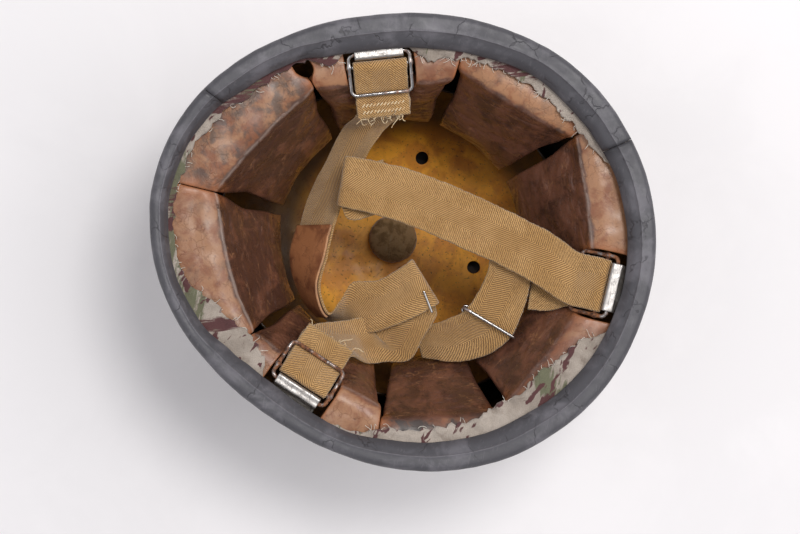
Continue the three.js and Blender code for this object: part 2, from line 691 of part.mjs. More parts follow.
function makeSlide() {
  const row = BRANCH[3];
  const normal = rowNormals(BRANCH)[3];
  const across = row.b.clone().sub(row.a).normalize();
  const along = across.clone().cross(normal).normalize();
  const tilt = radians(SLIDE.tilt);
  const short = along.multiplyScalar(Math.cos(tilt)).addScaledVector(normal, Math.sin(tilt));
  const path = roundedRectangle(-SLIDE.halfWidth, SLIDE.halfWidth, SLIDE.halfLength, SLIDE.corner)
    .map(([s, l]) => centre(row).addScaledVector(short, s).addScaledVector(across, l));
  add("strap_slide", wireLoop(path, SLIDE.wire), STEEL_WIRE);
}

function makeFoldWire() {
  const [from, to] = [vector(FOLD_WIRE.from), vector(FOLD_WIRE.to)];
  const along = to.clone().sub(from).normalize();
  const ends = [from, to].map((end) => wireSection(end, along, new THREE.Vector3(0, 0, 1), FOLD_WIRE.radius));
  add("fold_wire", skin(ends, { section: polygon(WIRE.sides) }), STEEL_WIRE);
}

// ------------------------------------------------------------------ assembly

makeShell();
makeCover();
makeRimRubber();
makeCrown();
makePads();
const frames = Object.fromEntries(Object.entries(CLIPS).map(([side, clip]) => [side, clipFrame(clip)]));
for (const [side, frame] of Object.entries(frames)) {
  makeClip(`strap_clip_${side}`, frame);
  makeRing(`strap_ring_${side}`, frame);
}
makeHarness(frames);
makeFoldWire();

export default helmet;
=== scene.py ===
"""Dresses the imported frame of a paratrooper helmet: rubber rim, cloth cover, leather liner and harness."""
import math
import random

import bmesh
import bpy
from bpy.props import FloatProperty, FloatVectorProperty, PointerProperty
from mathutils import Matrix, Vector, noise


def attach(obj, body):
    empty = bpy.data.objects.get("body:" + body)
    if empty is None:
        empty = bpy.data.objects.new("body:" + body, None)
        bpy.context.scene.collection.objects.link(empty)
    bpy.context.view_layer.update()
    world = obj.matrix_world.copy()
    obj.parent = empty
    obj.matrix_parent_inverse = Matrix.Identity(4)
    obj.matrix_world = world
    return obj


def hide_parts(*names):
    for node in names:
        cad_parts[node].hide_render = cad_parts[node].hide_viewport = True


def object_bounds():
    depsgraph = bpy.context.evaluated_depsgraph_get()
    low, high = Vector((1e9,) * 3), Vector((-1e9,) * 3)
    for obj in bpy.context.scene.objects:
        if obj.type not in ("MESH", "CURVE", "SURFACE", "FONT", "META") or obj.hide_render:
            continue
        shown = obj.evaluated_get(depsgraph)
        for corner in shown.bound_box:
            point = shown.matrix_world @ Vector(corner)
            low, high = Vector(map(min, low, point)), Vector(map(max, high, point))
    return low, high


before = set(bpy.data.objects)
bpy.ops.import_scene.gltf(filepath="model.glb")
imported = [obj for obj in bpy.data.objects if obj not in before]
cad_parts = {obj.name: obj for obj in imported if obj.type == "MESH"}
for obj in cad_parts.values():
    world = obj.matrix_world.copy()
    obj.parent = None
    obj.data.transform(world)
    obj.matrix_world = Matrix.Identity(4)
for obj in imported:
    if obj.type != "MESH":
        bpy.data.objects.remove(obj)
CAD_LOW, CAD_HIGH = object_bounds()

bl_info = {
    "name": "Paratrooper Helmet",
    "version": (1, 0, 0),
    "blender": (4, 5, 0),
    "location": "View3D > Sidebar > Helmet",
    "description": "Makes the visible pieces, finishes and stage of a paratrooper helmet on its packed frame",
    "category": "Object",
}

# Tables and functions work in millimetres, and a piece's points become metres as it is made.
MM = 0.001
HEIGHT = (CAD_HIGH.z - CAD_LOW.z) / MM
RIM_LENGTH = (CAD_HIGH.x - CAD_LOW.x) / MM
RIM_WIDTH = 250
EGG = 3  # the outline is blunt at the back and drawn in at the sides
FULLNESS = 2.4  # exponent of the bowl's profile
GAP = 0.3
TURN = 2 * math.pi

COVER_OUTER, COVER_WALL = 2.3, 1.0
STEEL_INNER = 4.8
DOME_OUTER, DOME_WALL, DOME_TOP = 13, 1.6, 98
WEB_WIDTH, WEB_WALL = 30, 1.6
LEATHER_WALL = 1.5
WIRE_RADIUS = 1.1

# Columns and rows of the grids that the larger pieces are laid on.
GRIDS = {"cover": (360, 130), "dome": (192, 72), "felt": (96, 60), "finger": (112, 104), "clip": (96, 40)}


def table(columns, rows):
    """A list with a dictionary for each row, from the names of the columns."""
    return [dict(zip(columns.split(), row)) for row in rows]


# ------------------------------------------------------------------------------------- the bowl

def lerp(a, b, t):
    return a + (b - a) * t


def smooth(low, high, value):
    """0 below low, 1 above high and an even curve between them."""
    t = min(max((value - low) / (high - low), 0), 1)
    return t * t * (3 - 2 * t)


def rim_radius(angle):
    a, b = RIM_LENGTH / 2, RIM_WIDTH / 2
    ellipse = a * b / math.hypot(b * math.cos(angle), a * math.sin(angle))
    return ellipse - EGG * math.cos(3 * angle)


def bowl_depth(inset):
    return HEIGHT + COVER_OUTER - inset


def bowl_radius(angle, inset, depth):
    level = min(depth / bowl_depth(inset), 1)
    return (rim_radius(angle) - inset) * (1 - level ** FULLNESS) ** (1 / FULLNESS)


def place(angle, radius, depth):
    shift = EGG * (1 - depth / HEIGHT)
    return Vector((radius * math.cos(angle) + shift, radius * math.sin(angle), HEIGHT - depth))


def on_bowl(angle, inset, climb):
    """A point of the bowl's wall: climb goes from 0 at the crown to 1 at the rim."""
    turn = climb * math.pi / 2
    depth = bowl_depth(inset) * math.cos(turn) ** (2 / FULLNESS)
    radius = (rim_radius(angle) - inset) * math.sin(turn) ** (2 / FULLNESS)
    return radius, depth


def round_table(table, key, angle):
    """A value from a table round the rim, eased between its rows."""
    degrees = math.degrees(angle) % 360
    for here, after in zip(table, table[1:]):
        if degrees <= after["at"]:
            return lerp(here[key], after[key], smooth(here["at"], after["at"], degrees))
    return table[-1][key]


# Width of the rubber seen from above, and how far the torn cloth reaches in past it.
RIM_TABLE = table("at lip reach", (
    (0, 15.0, -2), (30, 16.2, -1.5), (42, 17.4, 3), (52, 18.2, 5), (66, 17.0, 5), (84, 18.6, 3),
    (98, 19.2, 5), (105, 19.0, -2), (120, 19.2, -2), (127, 18.4, 4), (135, 15.0, 1), (150, 15.0, 4.5),
    (162, 12.2, 4), (172, 11.0, 3), (186, 10.2, 3), (202, 9.8, 4), (216, 11.0, 13), (226, 14.0, 14),
    (233, 15.6, 8), (239, 15.8, -2), (256, 14.0, -2), (266, 13.0, 1), (280, 15.4, 6), (300, 16.6, 8),
    (315, 17.4, 11), (330, 16.4, 14), (342, 15.6, 10), (350, 15.2, -2), (360, 15.0, -2),
))


def lip_width(angle):
    return round_table(RIM_TABLE, "lip", angle)


def lie(point, scale, seed=0.0):
    """Smooth noise between about -1 and 1 for a feature of the given size in millimetres."""
    return noise.noise(point / scale + Vector((seed, seed * 0.37, -seed)))


# How each surface is uneven: the height, size and seed of each layer of noise.
UNEVEN = {
    "cloth_slack": ((0.5, 26, 2),),
    "hem_reach": ((2.6, 8, 3), (1.8, 2.2, 7)),
    "hem_curl": ((2.1, 7, 4), (1.1, 2.6, 9)),
    "rubber_wave": ((0.5, 24, 11), (0.18, 6, 12)),
    "rubber_sag": ((0.9, 16, 13),),
    "dome": ((0.25, 20, 21),),
    "felt": ((0.35, 4, 31), (0.2, 1.3, 32)),
    "leather": ((0.9, 15, 41), (0.35, 6, 42)),
    "clip": ((0.12, 5, 51),),
    "ring": ((0.05, 3, 61),),
    "strap_edge": ((0.35, 2.2, 0), (0.35, 9, 1)),
    "strap_face": ((0.3, 13, 2), (0.15, 5, 3)),
}


def uneven(surface, point, seed=0):
    """How far a surface stands off its plain shape at a point."""
    return sum(height * lie(point, size, seed + own) for height, size, own in UNEVEN[surface])


# ------------------------------------------------------------------------------ curves and grids

def curve(points, t):
    """A point, by share of the way along, on a centripetal Catmull-Rom curve through the points."""
    last = len(points) - 1
    i = min(int(t * last), last - 1)
    p1, p2 = points[i], points[i + 1]
    p0 = points[i - 1] if i > 0 else p1 * 2 - p2
    p3 = points[i + 2] if i + 2 <= last else p2 * 2 - p1
    gaps = [max((b - a).length, 1e-6) ** 0.5 for a, b in ((p0, p1), (p1, p2), (p2, p3))]
    k = [0, gaps[0], gaps[0] + gaps[1], sum(gaps)]
    x = k[1] + (t * last - i) * gaps[1]
    a1, a2, a3 = (
        a * ((k[j + 1] - x) / (k[j + 1] - k[j])) + b * ((x - k[j]) / (k[j + 1] - k[j]))
        for j, (a, b) in enumerate(((p0, p1), (p1, p2), (p2, p3)))
    )
    b1 = a1 * ((k[2] - x) / (k[2] - k[0])) + a2 * ((x - k[0]) / (k[2] - k[0]))
    b2 = a2 * ((k[3] - x) / (k[3] - k[1])) + a3 * ((x - k[1]) / (k[3] - k[1]))
    return b1 * ((k[2] - x) / gaps[1]) + b2 * ((x - k[1]) / gaps[1])


def new_object(name, bm):
    """Turns a bmesh in millimetres into an object in metres."""
    bmesh.ops.scale(bm, vec=Vector((MM, MM, MM)), verts=bm.verts)
    mesh = bpy.data.meshes.new(name)
    bm.to_mesh(mesh)
    bm.free()
    made = bpy.data.objects.new(name, mesh)
    bpy.context.scene.collection.objects.link(made)
    return made


def finished(name, bm, node, material):
    """Makes a piece that rides on the helmet, in place of a node of the frame where one is named."""
    for face in bm.faces:
        face.smooth = True
    piece = new_object(name, bm)
    piece.data.materials.append(material)
    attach(piece, "root")
    if node:
        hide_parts(node)
    return piece


def mapped_grid(columns, rows, point, paint=None, uv=None, caps=False):
    """A grid over u and v, each from 0 to 1, laid on point(u, v) in millimetres. Corners that meet are
    joined, so a surface that comes round to its start is closed. uv gives each corner's place in a pattern,
    in metres, and paint the three shares that a material mixes by."""
    bm = bmesh.new()
    bmesh.ops.create_grid(bm, x_segments=columns, y_segments=rows, size=0.5)
    layer = bm.loops.layers.uv.new("pattern")
    shares = bm.loops.layers.float_color.new("shares")
    corners = {vert: (vert.co.x + 0.5, vert.co.y + 0.5) for vert in bm.verts}
    coats = {vert: (*paint(*corners[vert]), 1) for vert in bm.verts} if paint else {}
    for face in bm.faces:
        for loop in face.loops:
            u, v = corners[loop.vert]
            loop[layer].uv = uv(u, v) if uv else (u, v)
            if paint:
                loop[shares] = coats[loop.vert]
    for vert, (u, v) in corners.items():
        vert.co = point(u, v)
    bmesh.ops.remove_doubles(bm, verts=bm.verts, dist=1e-4)
    bmesh.ops.dissolve_degenerate(bm, edges=bm.edges, dist=1e-5)
    if caps:
        bmesh.ops.holes_fill(bm, edges=[edge for edge in bm.edges if edge.is_boundary], sides=0)
    bmesh.ops.recalc_face_normals(bm, faces=bm.faces)
    return bm


ASLANT = Vector((0.13, 0.21, 0.97))  # no wire runs this way, so it gives each one its sides


def wire_bmesh(path, radius, columns=14, rows=96, closed=True):
    """A round wire along path(t). radius is a number or a function of t."""
    def sides_at(t):
        step = 0.5 / rows
        ahead = path((t + step) % 1 if closed else min(t + step, 1))
        behind = path((t - step) % 1 if closed else max(t - step, 0))
        along = (ahead - behind).normalized()
        side = along.cross(ASLANT).normalized()
        return side, along.cross(side)

    def point(u, v):
        t = v % 1 if closed else v
        side, up = sides_at(t)
        r = radius(t) if callable(radius) else radius
        return path(t) + side * (r * math.cos(TURN * u)) + up * (r * math.sin(TURN * u))

    return mapped_grid(columns, rows, point, caps=not closed)


def merged(parts):
    """Puts several bmeshes into one."""
    whole = parts[0]
    for part in parts[1:]:
        carrier = bpy.data.meshes.new("carrier")
        part.to_mesh(carrier)
        part.free()
        whole.from_mesh(carrier)
        bpy.data.meshes.remove(carrier)
    return whole


def polyline(points, closed=False):
    """path(t) along straight stretches between the points, even in length."""
    line = points + points[:1] if closed else points
    lengths = [0]
    for a, b in zip(line, line[1:]):
        lengths.append(lengths[-1] + (b - a).length)

    def path(t):
        along = min(max(t, 0), 1) * lengths[-1]
        for i in range(len(line) - 1):
            if along <= lengths[i + 1] or i == len(line) - 2:
                span = max(lengths[i + 1] - lengths[i], 1e-9)
                return line[i].lerp(line[i + 1], (along - lengths[i]) / span)

    return path


# ----------------------------------------------------------------------------- cover and rubber

WALL_SHARE = 0.7  # how much of the cover's grid lies on the wall, before it turns over the rim
WALL_CLIMB = 0.9944  # how far up the bowl the wall goes before it turns


def cover_point(u, v):
    """The outer face of the cloth, from the crown up the wall, over the rim and in to its torn edge."""
    angle = TURN * u
    if v <= WALL_SHARE:
        radius, depth = on_bowl(angle, COVER_OUTER, WALL_CLIMB * v / WALL_SHARE)
        point = place(angle, radius, depth)
        tuck = lie(Vector((40 * math.cos(angle), 40 * math.sin(angle), depth * 0.05)), 3.4, 5)
        gathers = 0.9 * max(tuck, 0) * smooth(24, 34, depth) * (1 - smooth(46, 92, depth))
        slack = uneven("cloth_slack", point) * smooth(30, 60, depth) * (1 - smooth(120, 150, depth))
        outward = Vector((math.cos(angle), math.sin(angle), 0))
        return point + outward * (gathers + slack - 0.25 * smooth(24, 40, depth))
    lip = lip_width(angle)
    reach = round_table(RIM_TABLE, "reach", angle)
    spot = place(angle, rim_radius(angle), 0)
    if reach > 0:
        reach += uneven("hem_reach", spot)
    keys = [(2.3, 3.2), (2.9, 2.3), (5.6, 2.3), (6.1, 3.6), (lip - 2.5, 9.9), (lip + reach, 12.5)]
    inset, depth = curve([Vector(key) for key in keys], (v - WALL_SHARE) / (1 - WALL_SHARE))
    point = place(angle, bowl_radius(angle, inset, depth), depth)
    point.z += smooth(lip - 3, lip + 3, inset) * uneven("hem_curl", point)
    return point


RUBBER_LENGTHS = table("name node start stop proud", (
    ("rubber_left", "rim_rubber_left", 37.5, 157.5, 0.0),
    ("rubber_right", "rim_rubber_right", 157.5, 397.5, 0.3),
))


HALF_JOINT, MEAN_RADIUS = 0.15, 130  # each length ends this far from the joint, measured along the rim
CREST = 0.2  # waves are cut off at this height, and the strip set in by it, so none passes its outline
RUBBER_COLUMNS, ROWS_A_DEGREE = 66, 1.1


def ridge_inset(angle):
    return 0.5 * lip_width(angle) + 0.9


def rubber_section(angle, proud):
    """Inset and depth round the folded strip: outer skirt, flat top, ridge, inner slope and underside."""
    lip, ridge = lip_width(angle), ridge_inset(angle)
    top = 0.2 - 0.15 * proud
    return [Vector(corner) for corner in [
        (1.9, 21.9), (0.7, 21.9), (0.15, 21.2), (0, 18), (0, 11), (0.05, 5.6), (0.7, 2.5), (2.2, 0.8),
        (3.6, top), (ridge - 0.7, top + 0.25), (ridge, top + 0.05), (ridge + 0.6, top + 0.9),
        (lerp(ridge, lip, 0.55), 3.6), (lip - 0.9, 6.9), (lip - 0.35, 7.9), (lip - 0.25, 8.9),
        (lip - 0.8, 9.2), (lerp(6.4, lip, 0.5), 5.9), (6.4, 2), (2.4, 2), (2, 2.7), (2, 12), (1.9, 21.9),
    ]]


def rubber_bmesh(start, stop, proud):
    backs_off = math.degrees(HALF_JOINT / MEAN_RADIUS)

    def point(u, v):
        angle = math.radians(lerp(start + backs_off, stop - backs_off, v))
        inset, depth = curve(rubber_section(angle, proud), u)
        spot = place(angle, rim_radius(angle), 0)
        wave = min(uneven("rubber_wave", spot), CREST) - CREST
        sag = smooth(6, 14, inset) * uneven("rubber_sag", spot) + CREST / 2
        return place(angle, bowl_radius(angle, max(inset, 0), depth) + wave, depth + sag)

    def paint(u, v):
        angle = math.radians(lerp(start, stop, v))
        inset, depth = curve(rubber_section(angle, proud), u)
        line = max(0, 1 - abs(inset - ridge_inset(angle)) / 0.9) * (depth < 3)
        edge = smooth(lip_width(angle) - 2.2, lip_width(angle), inset)
        joint = 1 - smooth(0, 0.012, min(v, 1 - v))
        return line, edge, joint

    return mapped_grid(RUBBER_COLUMNS, int((stop - start) * ROWS_A_DEGREE), point, paint, caps=True)


# ------------------------------------------------------------------------------------- the crown

VENTS = {"count": 4, "pitch_radius": 54, "turn": -6, "drill": 60}


def make_solid(piece, **solidify):
    """Gives a surface its wall, and leaves no modifier behind."""
    modifier = piece.modifiers.new("wall", "SOLIDIFY")
    for key, value in solidify.items():
        setattr(modifier, key, value)
    apply_modifiers(piece)


def apply_modifiers(piece):
    graph = bpy.context.evaluated_depsgraph_get()
    graph.update()
    shaped = bpy.data.meshes.new_from_object(piece.evaluated_get(graph))
    piece.modifiers.clear()
    old, piece.data = piece.data, shaped
    name = old.name
    bpy.data.meshes.remove(old)
    shaped.name = name


def dome_point(u, v):
    angle = TURN * u
    radius, depth = on_bowl(angle, DOME_OUTER, v)
    below = Vector((radius * math.cos(angle), radius * math.sin(angle), 0))
    return place(angle, radius, depth) + Vector((0, 0, uneven("dome", below)))


def dome_climb():
    """How far up the bowl's wall the dome reaches."""
    level = DOME_TOP / bowl_depth(DOME_OUTER)
    return math.acos(level ** (FULLNESS / 2)) / (math.pi / 2)


def vent_cutter(radius):
    drills = []
    for i in range(VENTS["count"]):
        turn = math.radians(VENTS["turn"]) + TURN * i / VENTS["count"]
        drill = bmesh.new()
        bmesh.ops.create_cone(drill, cap_ends=True, segments=32, radius1=radius, radius2=radius,
                              depth=VENTS["drill"])
        middle_of = Vector((math.cos(turn), math.sin(turn), 0)) * VENTS["pitch_radius"]
        bmesh.ops.translate(drill, verts=drill.verts, vec=middle_of + Vector((0, 0, VENTS["drill"] / 2)))
        drills.append(drill)
    return new_object("vent_cutter", merged(drills))


PAD_PROFILE = [(0, 0.2), (13.2, 0.3), (14.8, 1.8), (15.1, 4.4), (14.4, 6.8), (12.4, 8.1), (7, 8.6), (0, 8.3)]


def crown_pad_point(u, v):
    seat = HEIGHT - bowl_depth(DOME_OUTER + DOME_WALL) + GAP
    radius, height = curve([Vector(corner) for corner in PAD_PROFILE], v)
    point = Vector((radius * math.cos(TURN * u), radius * math.sin(TURN * u), seat + height))
    return point + Vector((point.x, point.y, 0)).normalized() * uneven("felt", point) * smooth(1, 3, height)


# ------------------------------------------------------------------------------------- the liner

# The padded leather fingers. Angles in degrees from the back; a ledge is its width from the steel to the
# bend at each end, and bow is how far the bend is rounded outwards between them. The column after bow sets
# the pale line along the bend, partly rubbed leather and partly a painted highlight; tan sets how light the
# ledge is, partly tan leather and partly painted light on its lit top; dark and stain say how each one has
# aged.
PADS = table("side ends ledges bow worn tan dark stain", (
    ("left_1", (0, 45), (21, 14), 2, 0.9, 0.75, 0.35, 0.1),
    ("left_2", (45, 87), (17, 18), -1, 0.35, 0.85, 0.45, 0.35),
    ("left_3", (87, 112.5), (25, 30), 0, 0.4, 0.4, 0.4, 0.1),
    ("left_4", (112.5, 135), (30, 24), 0, 0.3, 0.7, 0.3, 0.1),
    ("left_5", (135, 180), (23, 25.5), 2, 0.8, 0.6, 0.85, 0.7),
    ("right_5", (180, 225), (26, 21), 4, 1.0, 0.65, 0.75, 0.3),
    ("right_4", (225, 247.5), (20, 26), 0, 0.5, 0.5, 0.5, 0.1),
    ("right_3", (247.5, 275), (26, 22), 0, 0.6, 0.7, 0.4, 0.1),
    ("right_2", (275, 313), (16, 14), 2, 0.1, 0.1, 0.7, 0.9),
    ("right_1", (313, 360), (16, 20), 2, 0.35, 0.25, 0.5, 0.1),
))
CLIP_ANGLES = {"rear": 0, "left": 112.5, "right": 247.5}
# Half the open slot at each seam between fingers: where the ledge stands off the steel, at the bend, and
# at four places further and further down the finger.
CLIP_SEAM = (19.5, 19.5, 16.5, 6, 3, 4)
SEAMS = {
    0: CLIP_SEAM, 45: (8, 0.2, 1, 3.6, 3.4, 4), 87: (0.2, 0.2, 3.2, 4.5, 3, 3.5),
    112.5: CLIP_SEAM, 135: (5, 0.2, 1, 4, 2.6, 3.2), 180: (0.15, 0.15, 0.6, 4.5, 3, 3),
    225: (6, 0.2, 1, 3, 1.6, 2), 247.5: CLIP_SEAM, 275: (0.2, 0.2, 2, 3.5, 5, 7),
    313: (0.2, 0.2, 4.2, 4, 2, 1.4),
}
# A finger's rows from the steel to its tip: how far in along the ledge, and then how far down to the tip.
PAD_ROWS = table("ledge share depth wall", (
    (0, 0, 17.8, 6.4),
    (0.55, 0, 18.4, 7.6),
    (0.93, 0, 20.5, 9),
    (1, 0.1, 31, 10),
    (1, 0.42, 50, 9.5),
    (1, 0.78, 69, 8),
    (1, 1, 84, 3.5),
))
PAD_TIP_RADIUS = 72
BEND_ROW = 2
BEND = 0.36  # share of the way down a finger where the ledge turns over


def bend_radius(pad, angle):
    """The bend runs nearly straight from one end of the ledge to the other."""
    first, last = (math.radians(end) for end in pad["ends"])
    a, b = (bowl_radius(end, STEEL_INNER, PAD_ROWS[BEND_ROW]["depth"]) - ledge
            for end, ledge in zip((first, last), pad["ledges"]))
    straight = a * b * math.sin(last - first) / (a * math.sin(angle - first) + b * math.sin(last - angle))
    return straight + pad["bow"] * math.sin(math.pi * (angle - first) / (last - first))


def pad_line(pad, angle):
    """Radius, depth and wall down the middle of a finger's thickness, at one angle."""
    bend = bend_radius(pad, angle)
    line = []
    for row in PAD_ROWS:
        wall = bowl_radius(angle, STEEL_INNER, row["depth"] + row["wall"] / 2) - 2.4 * GAP
        radius = lerp(wall, bend, row["ledge"])
        if row["ledge"] == 1:
            radius = lerp(bend, PAD_TIP_RADIUS, row["share"])
        line.append(Vector((radius, row["depth"], row["wall"])))
    return line


def half_slot(degrees, v):
    """Half the open slot at a seam, by share of the way down the finger."""
    halves = SEAMS[degrees % 360]
    widths = (halves[0], *halves)  # the first two rows stand the same way apart
    at = v * (len(widths) - 1)
    i = min(int(at), len(widths) - 2)
    return lerp(widths[i], widths[i + 1], smooth(0, 1, at - i))


def pad_bmesh(pad):
    rows = GRIDS["finger"][1]
    first, last = (math.radians(end) for end in pad["ends"])
    reach_line = pad_line(pad, (first + last) / 2)
    spans = []
    for row in range(rows + 1):
        v = row / rows
        reach = curve(reach_line, v).x
        after, before = (half_slot(end, v) / reach for end in pad["ends"])
        spans.append((first + after, last - before))
    lines = {}

    def line_at(angle):
        key = round(math.degrees(angle) * 2)
        if key not in lines:
            lines[key] = pad_line(pad, math.radians(key / 2))
        return lines[key]

    def across(u):
        """Share across the finger and which face: the front for the first half of the way round."""
        half_turn = (u % 0.5) * 2
        share = (1 - math.cos(math.pi * half_turn)) / 2
        return (share, 1) if u < 0.5 else (1 - share, -1)

    def point(u, v):
        share, face = across(u % 1)
        start, stop = spans[round(v * rows)]
        angle = lerp(start, stop, share)
        line = line_at(angle)
        radius, depth, wall = curve(line, v)
        ahead, behind = curve(line, min(v + 0.01, 1)), curve(line, max(v - 0.01, 0))
        along = Vector((ahead.x - behind.x, ahead.y - behind.y)).normalized()
        normal = Vector((along.y, -along.x))
        squareness = lerp(14, 5, smooth(BEND - 0.02, BEND + 0.08, v))
        rounding = (1 - abs(2 * share - 1) ** squareness) ** (1 / squareness) if 0 < share < 1 else 0
        tip = math.sqrt(max(1 - (max(v - 0.95, 0) / 0.05) ** 2, 0))
        puff = 1 + 0.3 * math.sin(math.pi * share) * smooth(0.3, 0.5, v)
        half = wall / 2 * rounding * tip * puff
        spot = place(angle, radius, depth)
        if face > 0:
            half += rounding * tip * uneven("leather", spot)
            fold = 1 - abs(lie(Vector((spot.x, spot.y, spot.z * 2.2)), 11, 43)) * 7
            half -= rounding * tip * 0.5 * max(fold, 0) * smooth(0.3, 0.45, v)
            half += rounding * 0.5 * math.exp(-((v - BEND) / 0.035) ** 2)
        off = normal * (half * face * (1 if normal.y < 0 else -1))
        return place(angle, radius + off.x, depth + off.y)

    def paint(u, v):
        share, face = across(u % 1)
        start, stop = spans[round(v * rows)]
        spot = place(lerp(start, stop, share), 100, 100 * v)
        ragged = v + 0.008 * lie(spot, 9, 44)
        # The painted highlight along the bend, on the front face only, mixed with rubbed leather.
        ridge = math.exp(-((ragged - BEND) / 0.009) ** 2) * (face > 0)
        ledge = 1 - smooth(BEND - 0.05, BEND + 0.02, ragged)
        side = smooth(0.8, 1.0, abs(2 * share - 1)) * (1 - smooth(BEND + 0.08, BEND + 0.18, v))
        return ridge * (0.5 + 0.5 * pad["worn"]), ledge, side

    return mapped_grid(*GRIDS["finger"], point, paint, caps=True)


# --------------------------------------------------------------------------- clips, rings, wires

CLIP = {"width": 27, "half_height": 2, "half_depth": 3.25, "inset": 4.5, "depth": 12, "plate": 1.4,
        "drop": 24, "seat": 1.2}
RING = {"half_width": 17, "length": 23, "cross_bar": 7, "corner": 3, "bead": 1.7, "swelling": 0.55}
CLIP_SLOPES = {"rear": 35, "left": 18, "right": 18}
CLIP_RUST = {"rear": 0.7, "left": 0.3, "right": 0.6}


def even_lip(angle):
    """The rubber's width without its unevenness, which the clips are set from."""
    return 15.2 + 2.5 * math.cos(angle) - 2.25 * math.cos(2 * angle)


class ClipFrame:
    """Places near one clip: along its ring inwards and down, up from the ring's plane, and across it."""

    def __init__(self, side):
        angle = math.radians(CLIP_ANGLES[side])
        inset = even_lip(angle) + CLIP["inset"]
        self.angle = angle
        self.origin = place(angle, bowl_radius(angle, inset, CLIP["depth"]), CLIP["depth"])
        before, after = (place(angle + step, rim_radius(angle + step), 0) for step in (-0.01, 0.01))
        self.across = (after - before).normalized()
        self.outward = Vector((self.across.y, -self.across.x, 0))
        tilt = math.radians(CLIP_SLOPES[side])
        self.inward = self.outward * -math.cos(tilt) + Vector((0, 0, -math.sin(tilt)))
        self.up = self.outward * -math.sin(tilt) + Vector((0, 0, math.cos(tilt)))

    def point(self, along, height, side):
        return self.origin + self.inward * along + self.up * height + self.across * side


CLIP_FRAMES = {side: ClipFrame(side) for side in CLIP_ANGLES}


def clip_bmesh(frame_of_clip):
    d, h, plate, drop = (CLIP[key] for key in ("half_depth", "half_height", "plate", "drop"))

    def wall_at(fall):
        depth = CLIP["depth"] + fall
        steel = place(frame_of_clip.angle, bowl_radius(frame_of_clip.angle, STEEL_INNER, depth), depth)
        return (steel - frame_of_clip.origin).dot(frame_of_clip.outward) - CLIP["seat"]

    knee, foot = wall_at(5.4), wall_at(drop)
    outline = [Vector(corner) for corner in [
        (0, h), (d - 1, h), (d, 0.9), (d, -0.9), (lerp(d, knee, 0.5), -2.9), (knee - 0.3, -4.7), (knee, -6),
        (foot, -drop), (foot - plate, -drop), (knee - plate, -7), (knee - plate - 1, -5.4), (2.4, -2.8),
        (1.4, -h), (-2, -h), (-d, -0.9), (-d, 0.9), (1 - d, h), (0, h),
    ]]

    def point(u, v):
        out, up = curve(outline, u % 1)
        side = (v - 0.5) * CLIP["width"]
        dent = uneven("clip", Vector((side, out * 2, up)))
        return (frame_of_clip.origin + frame_of_clip.outward * (out + dent) + Vector((0, 0, up + dent))
                + frame_of_clip.across * side)

    return mapped_grid(*GRIDS["clip"], point, caps=True)


def rounded_rectangle(start, stop, half_width, corner, steps=6):
    corners = [(stop - corner, half_width - corner), (start + corner, half_width - corner),
               (start + corner, corner - half_width), (stop - corner, corner - half_width)]
    return [(along + corner * math.cos(turn), side + corner * math.sin(turn))
            for i, (along, side) in enumerate(corners)
            for turn in (math.pi / 2 * (i + k / steps) for k in range(steps + 1))]


def ring_bmesh(frame_of_clip):
    corners = rounded_rectangle(0, RING["length"], RING["half_width"], RING["corner"])
    path = polyline([frame_of_clip.point(along, 0, side) for along, side in corners], closed=True)
    ends = [frame_of_clip.point(RING["cross_bar"], 0, end * RING["half_width"]) for end in (-1, 1)]

    def radius(t):
        spot = path(t)
        knob = sum(math.exp(-((spot - end).length / RING["bead"]) ** 2) for end in ends)
        return WIRE_RADIUS * (1 + RING["swelling"] * knob + uneven("ring", spot))

    bar = wire_bmesh(polyline(ends), WIRE_RADIUS * 0.98, rows=40, closed=False)
    return merged([wire_bmesh(path, radius, rows=220), bar])


# ----------------------------------------------------------------------------------- the harness

def edge_rows(rows):
    """Rows across a strap, each its two edges, from a table of six numbers a row."""
    return [(Vector(row[:3]), Vector(row[3:])) for row in rows]


# Each row is one edge of the strap and then the other, in millimetres.
CHIN_UPPER = edge_rows([
    (-47, 53, 111, -24, 56, 127), (-52, 33, 98, -32, 32, 116), (-57, 11, 92, -37, 10, 114),
    (-58, -7, 93, -38, -2, 116), (-58, -24, 93, -38, -21, 117), (-49, -42, 92, -38, -39, 117),
    (-35, -54, 91, -29, -52, 116), (-19, -60, 95, -25, -43, 114), (-10, -60, 105, -20, -31, 112),
    (1, -55, 113, -7, -27, 114), (14, -46, 118, 3, -18, 118), (29, -33, 121, 8, -12, 121),
])
CHIN_LOWER = edge_rows([
    (31, -38, 115, 4, -26, 116), (27, -53, 111, -1, -42, 112), (22, -68, 106, -3, -56, 106),
    (9, -72, 106, -9, -50, 109), (0, -75, 110, -18, -53, 113),
])
LINED_FROM, LINED_TO = 3, 6
REAR_UNDER = edge_rows([(-11, 13, 121, -20, 41, 121), (-31, 3, 124.5, -36, 33, 124.5)])
REAR_UPPER = edge_rows([
    (-37, 9, 129, -39, 38, 129), (-13, 9, 130, -12, 39, 130), (9, 7, 131, 11, 37, 131),
    (30, 3, 133, 35, 33, 133), (52, -1, 135.5, 58, 28, 135.5), (76, -7, 139, 82, 22, 139),
])
REAR_RETURN = edge_rows([(91, -21, 130, 88, 9, 130), (80, -23, 127, 77, 7, 127)])
BRANCH = edge_rows([
    (75, 13, 135.6, 51, 18, 132.4), (76, 4, 135.4, 51, 9, 132.2), (78, -18, 128, 52, -10, 127.5),
    (75, -40, 123, 46, -31, 123), (67, -52, 117, 40, -37, 118), (50, -62, 108, 32, -43, 112),
    (30, -65, 100, 20, -48, 105),
])
SLIDE = {"half_length": 16.8, "half_width": 4.6, "corner": 2.4, "tilt": 72, "wire": 1.0, "row": 3}
EYELET = {"radius": 2.0, "wire": 0.75, "end": -1, "points": 24}
FOLD_WIRE = {"start": (20, -26.5, 122.7), "stop": (27.6, -37.4, 122.4), "radius": 0.7}


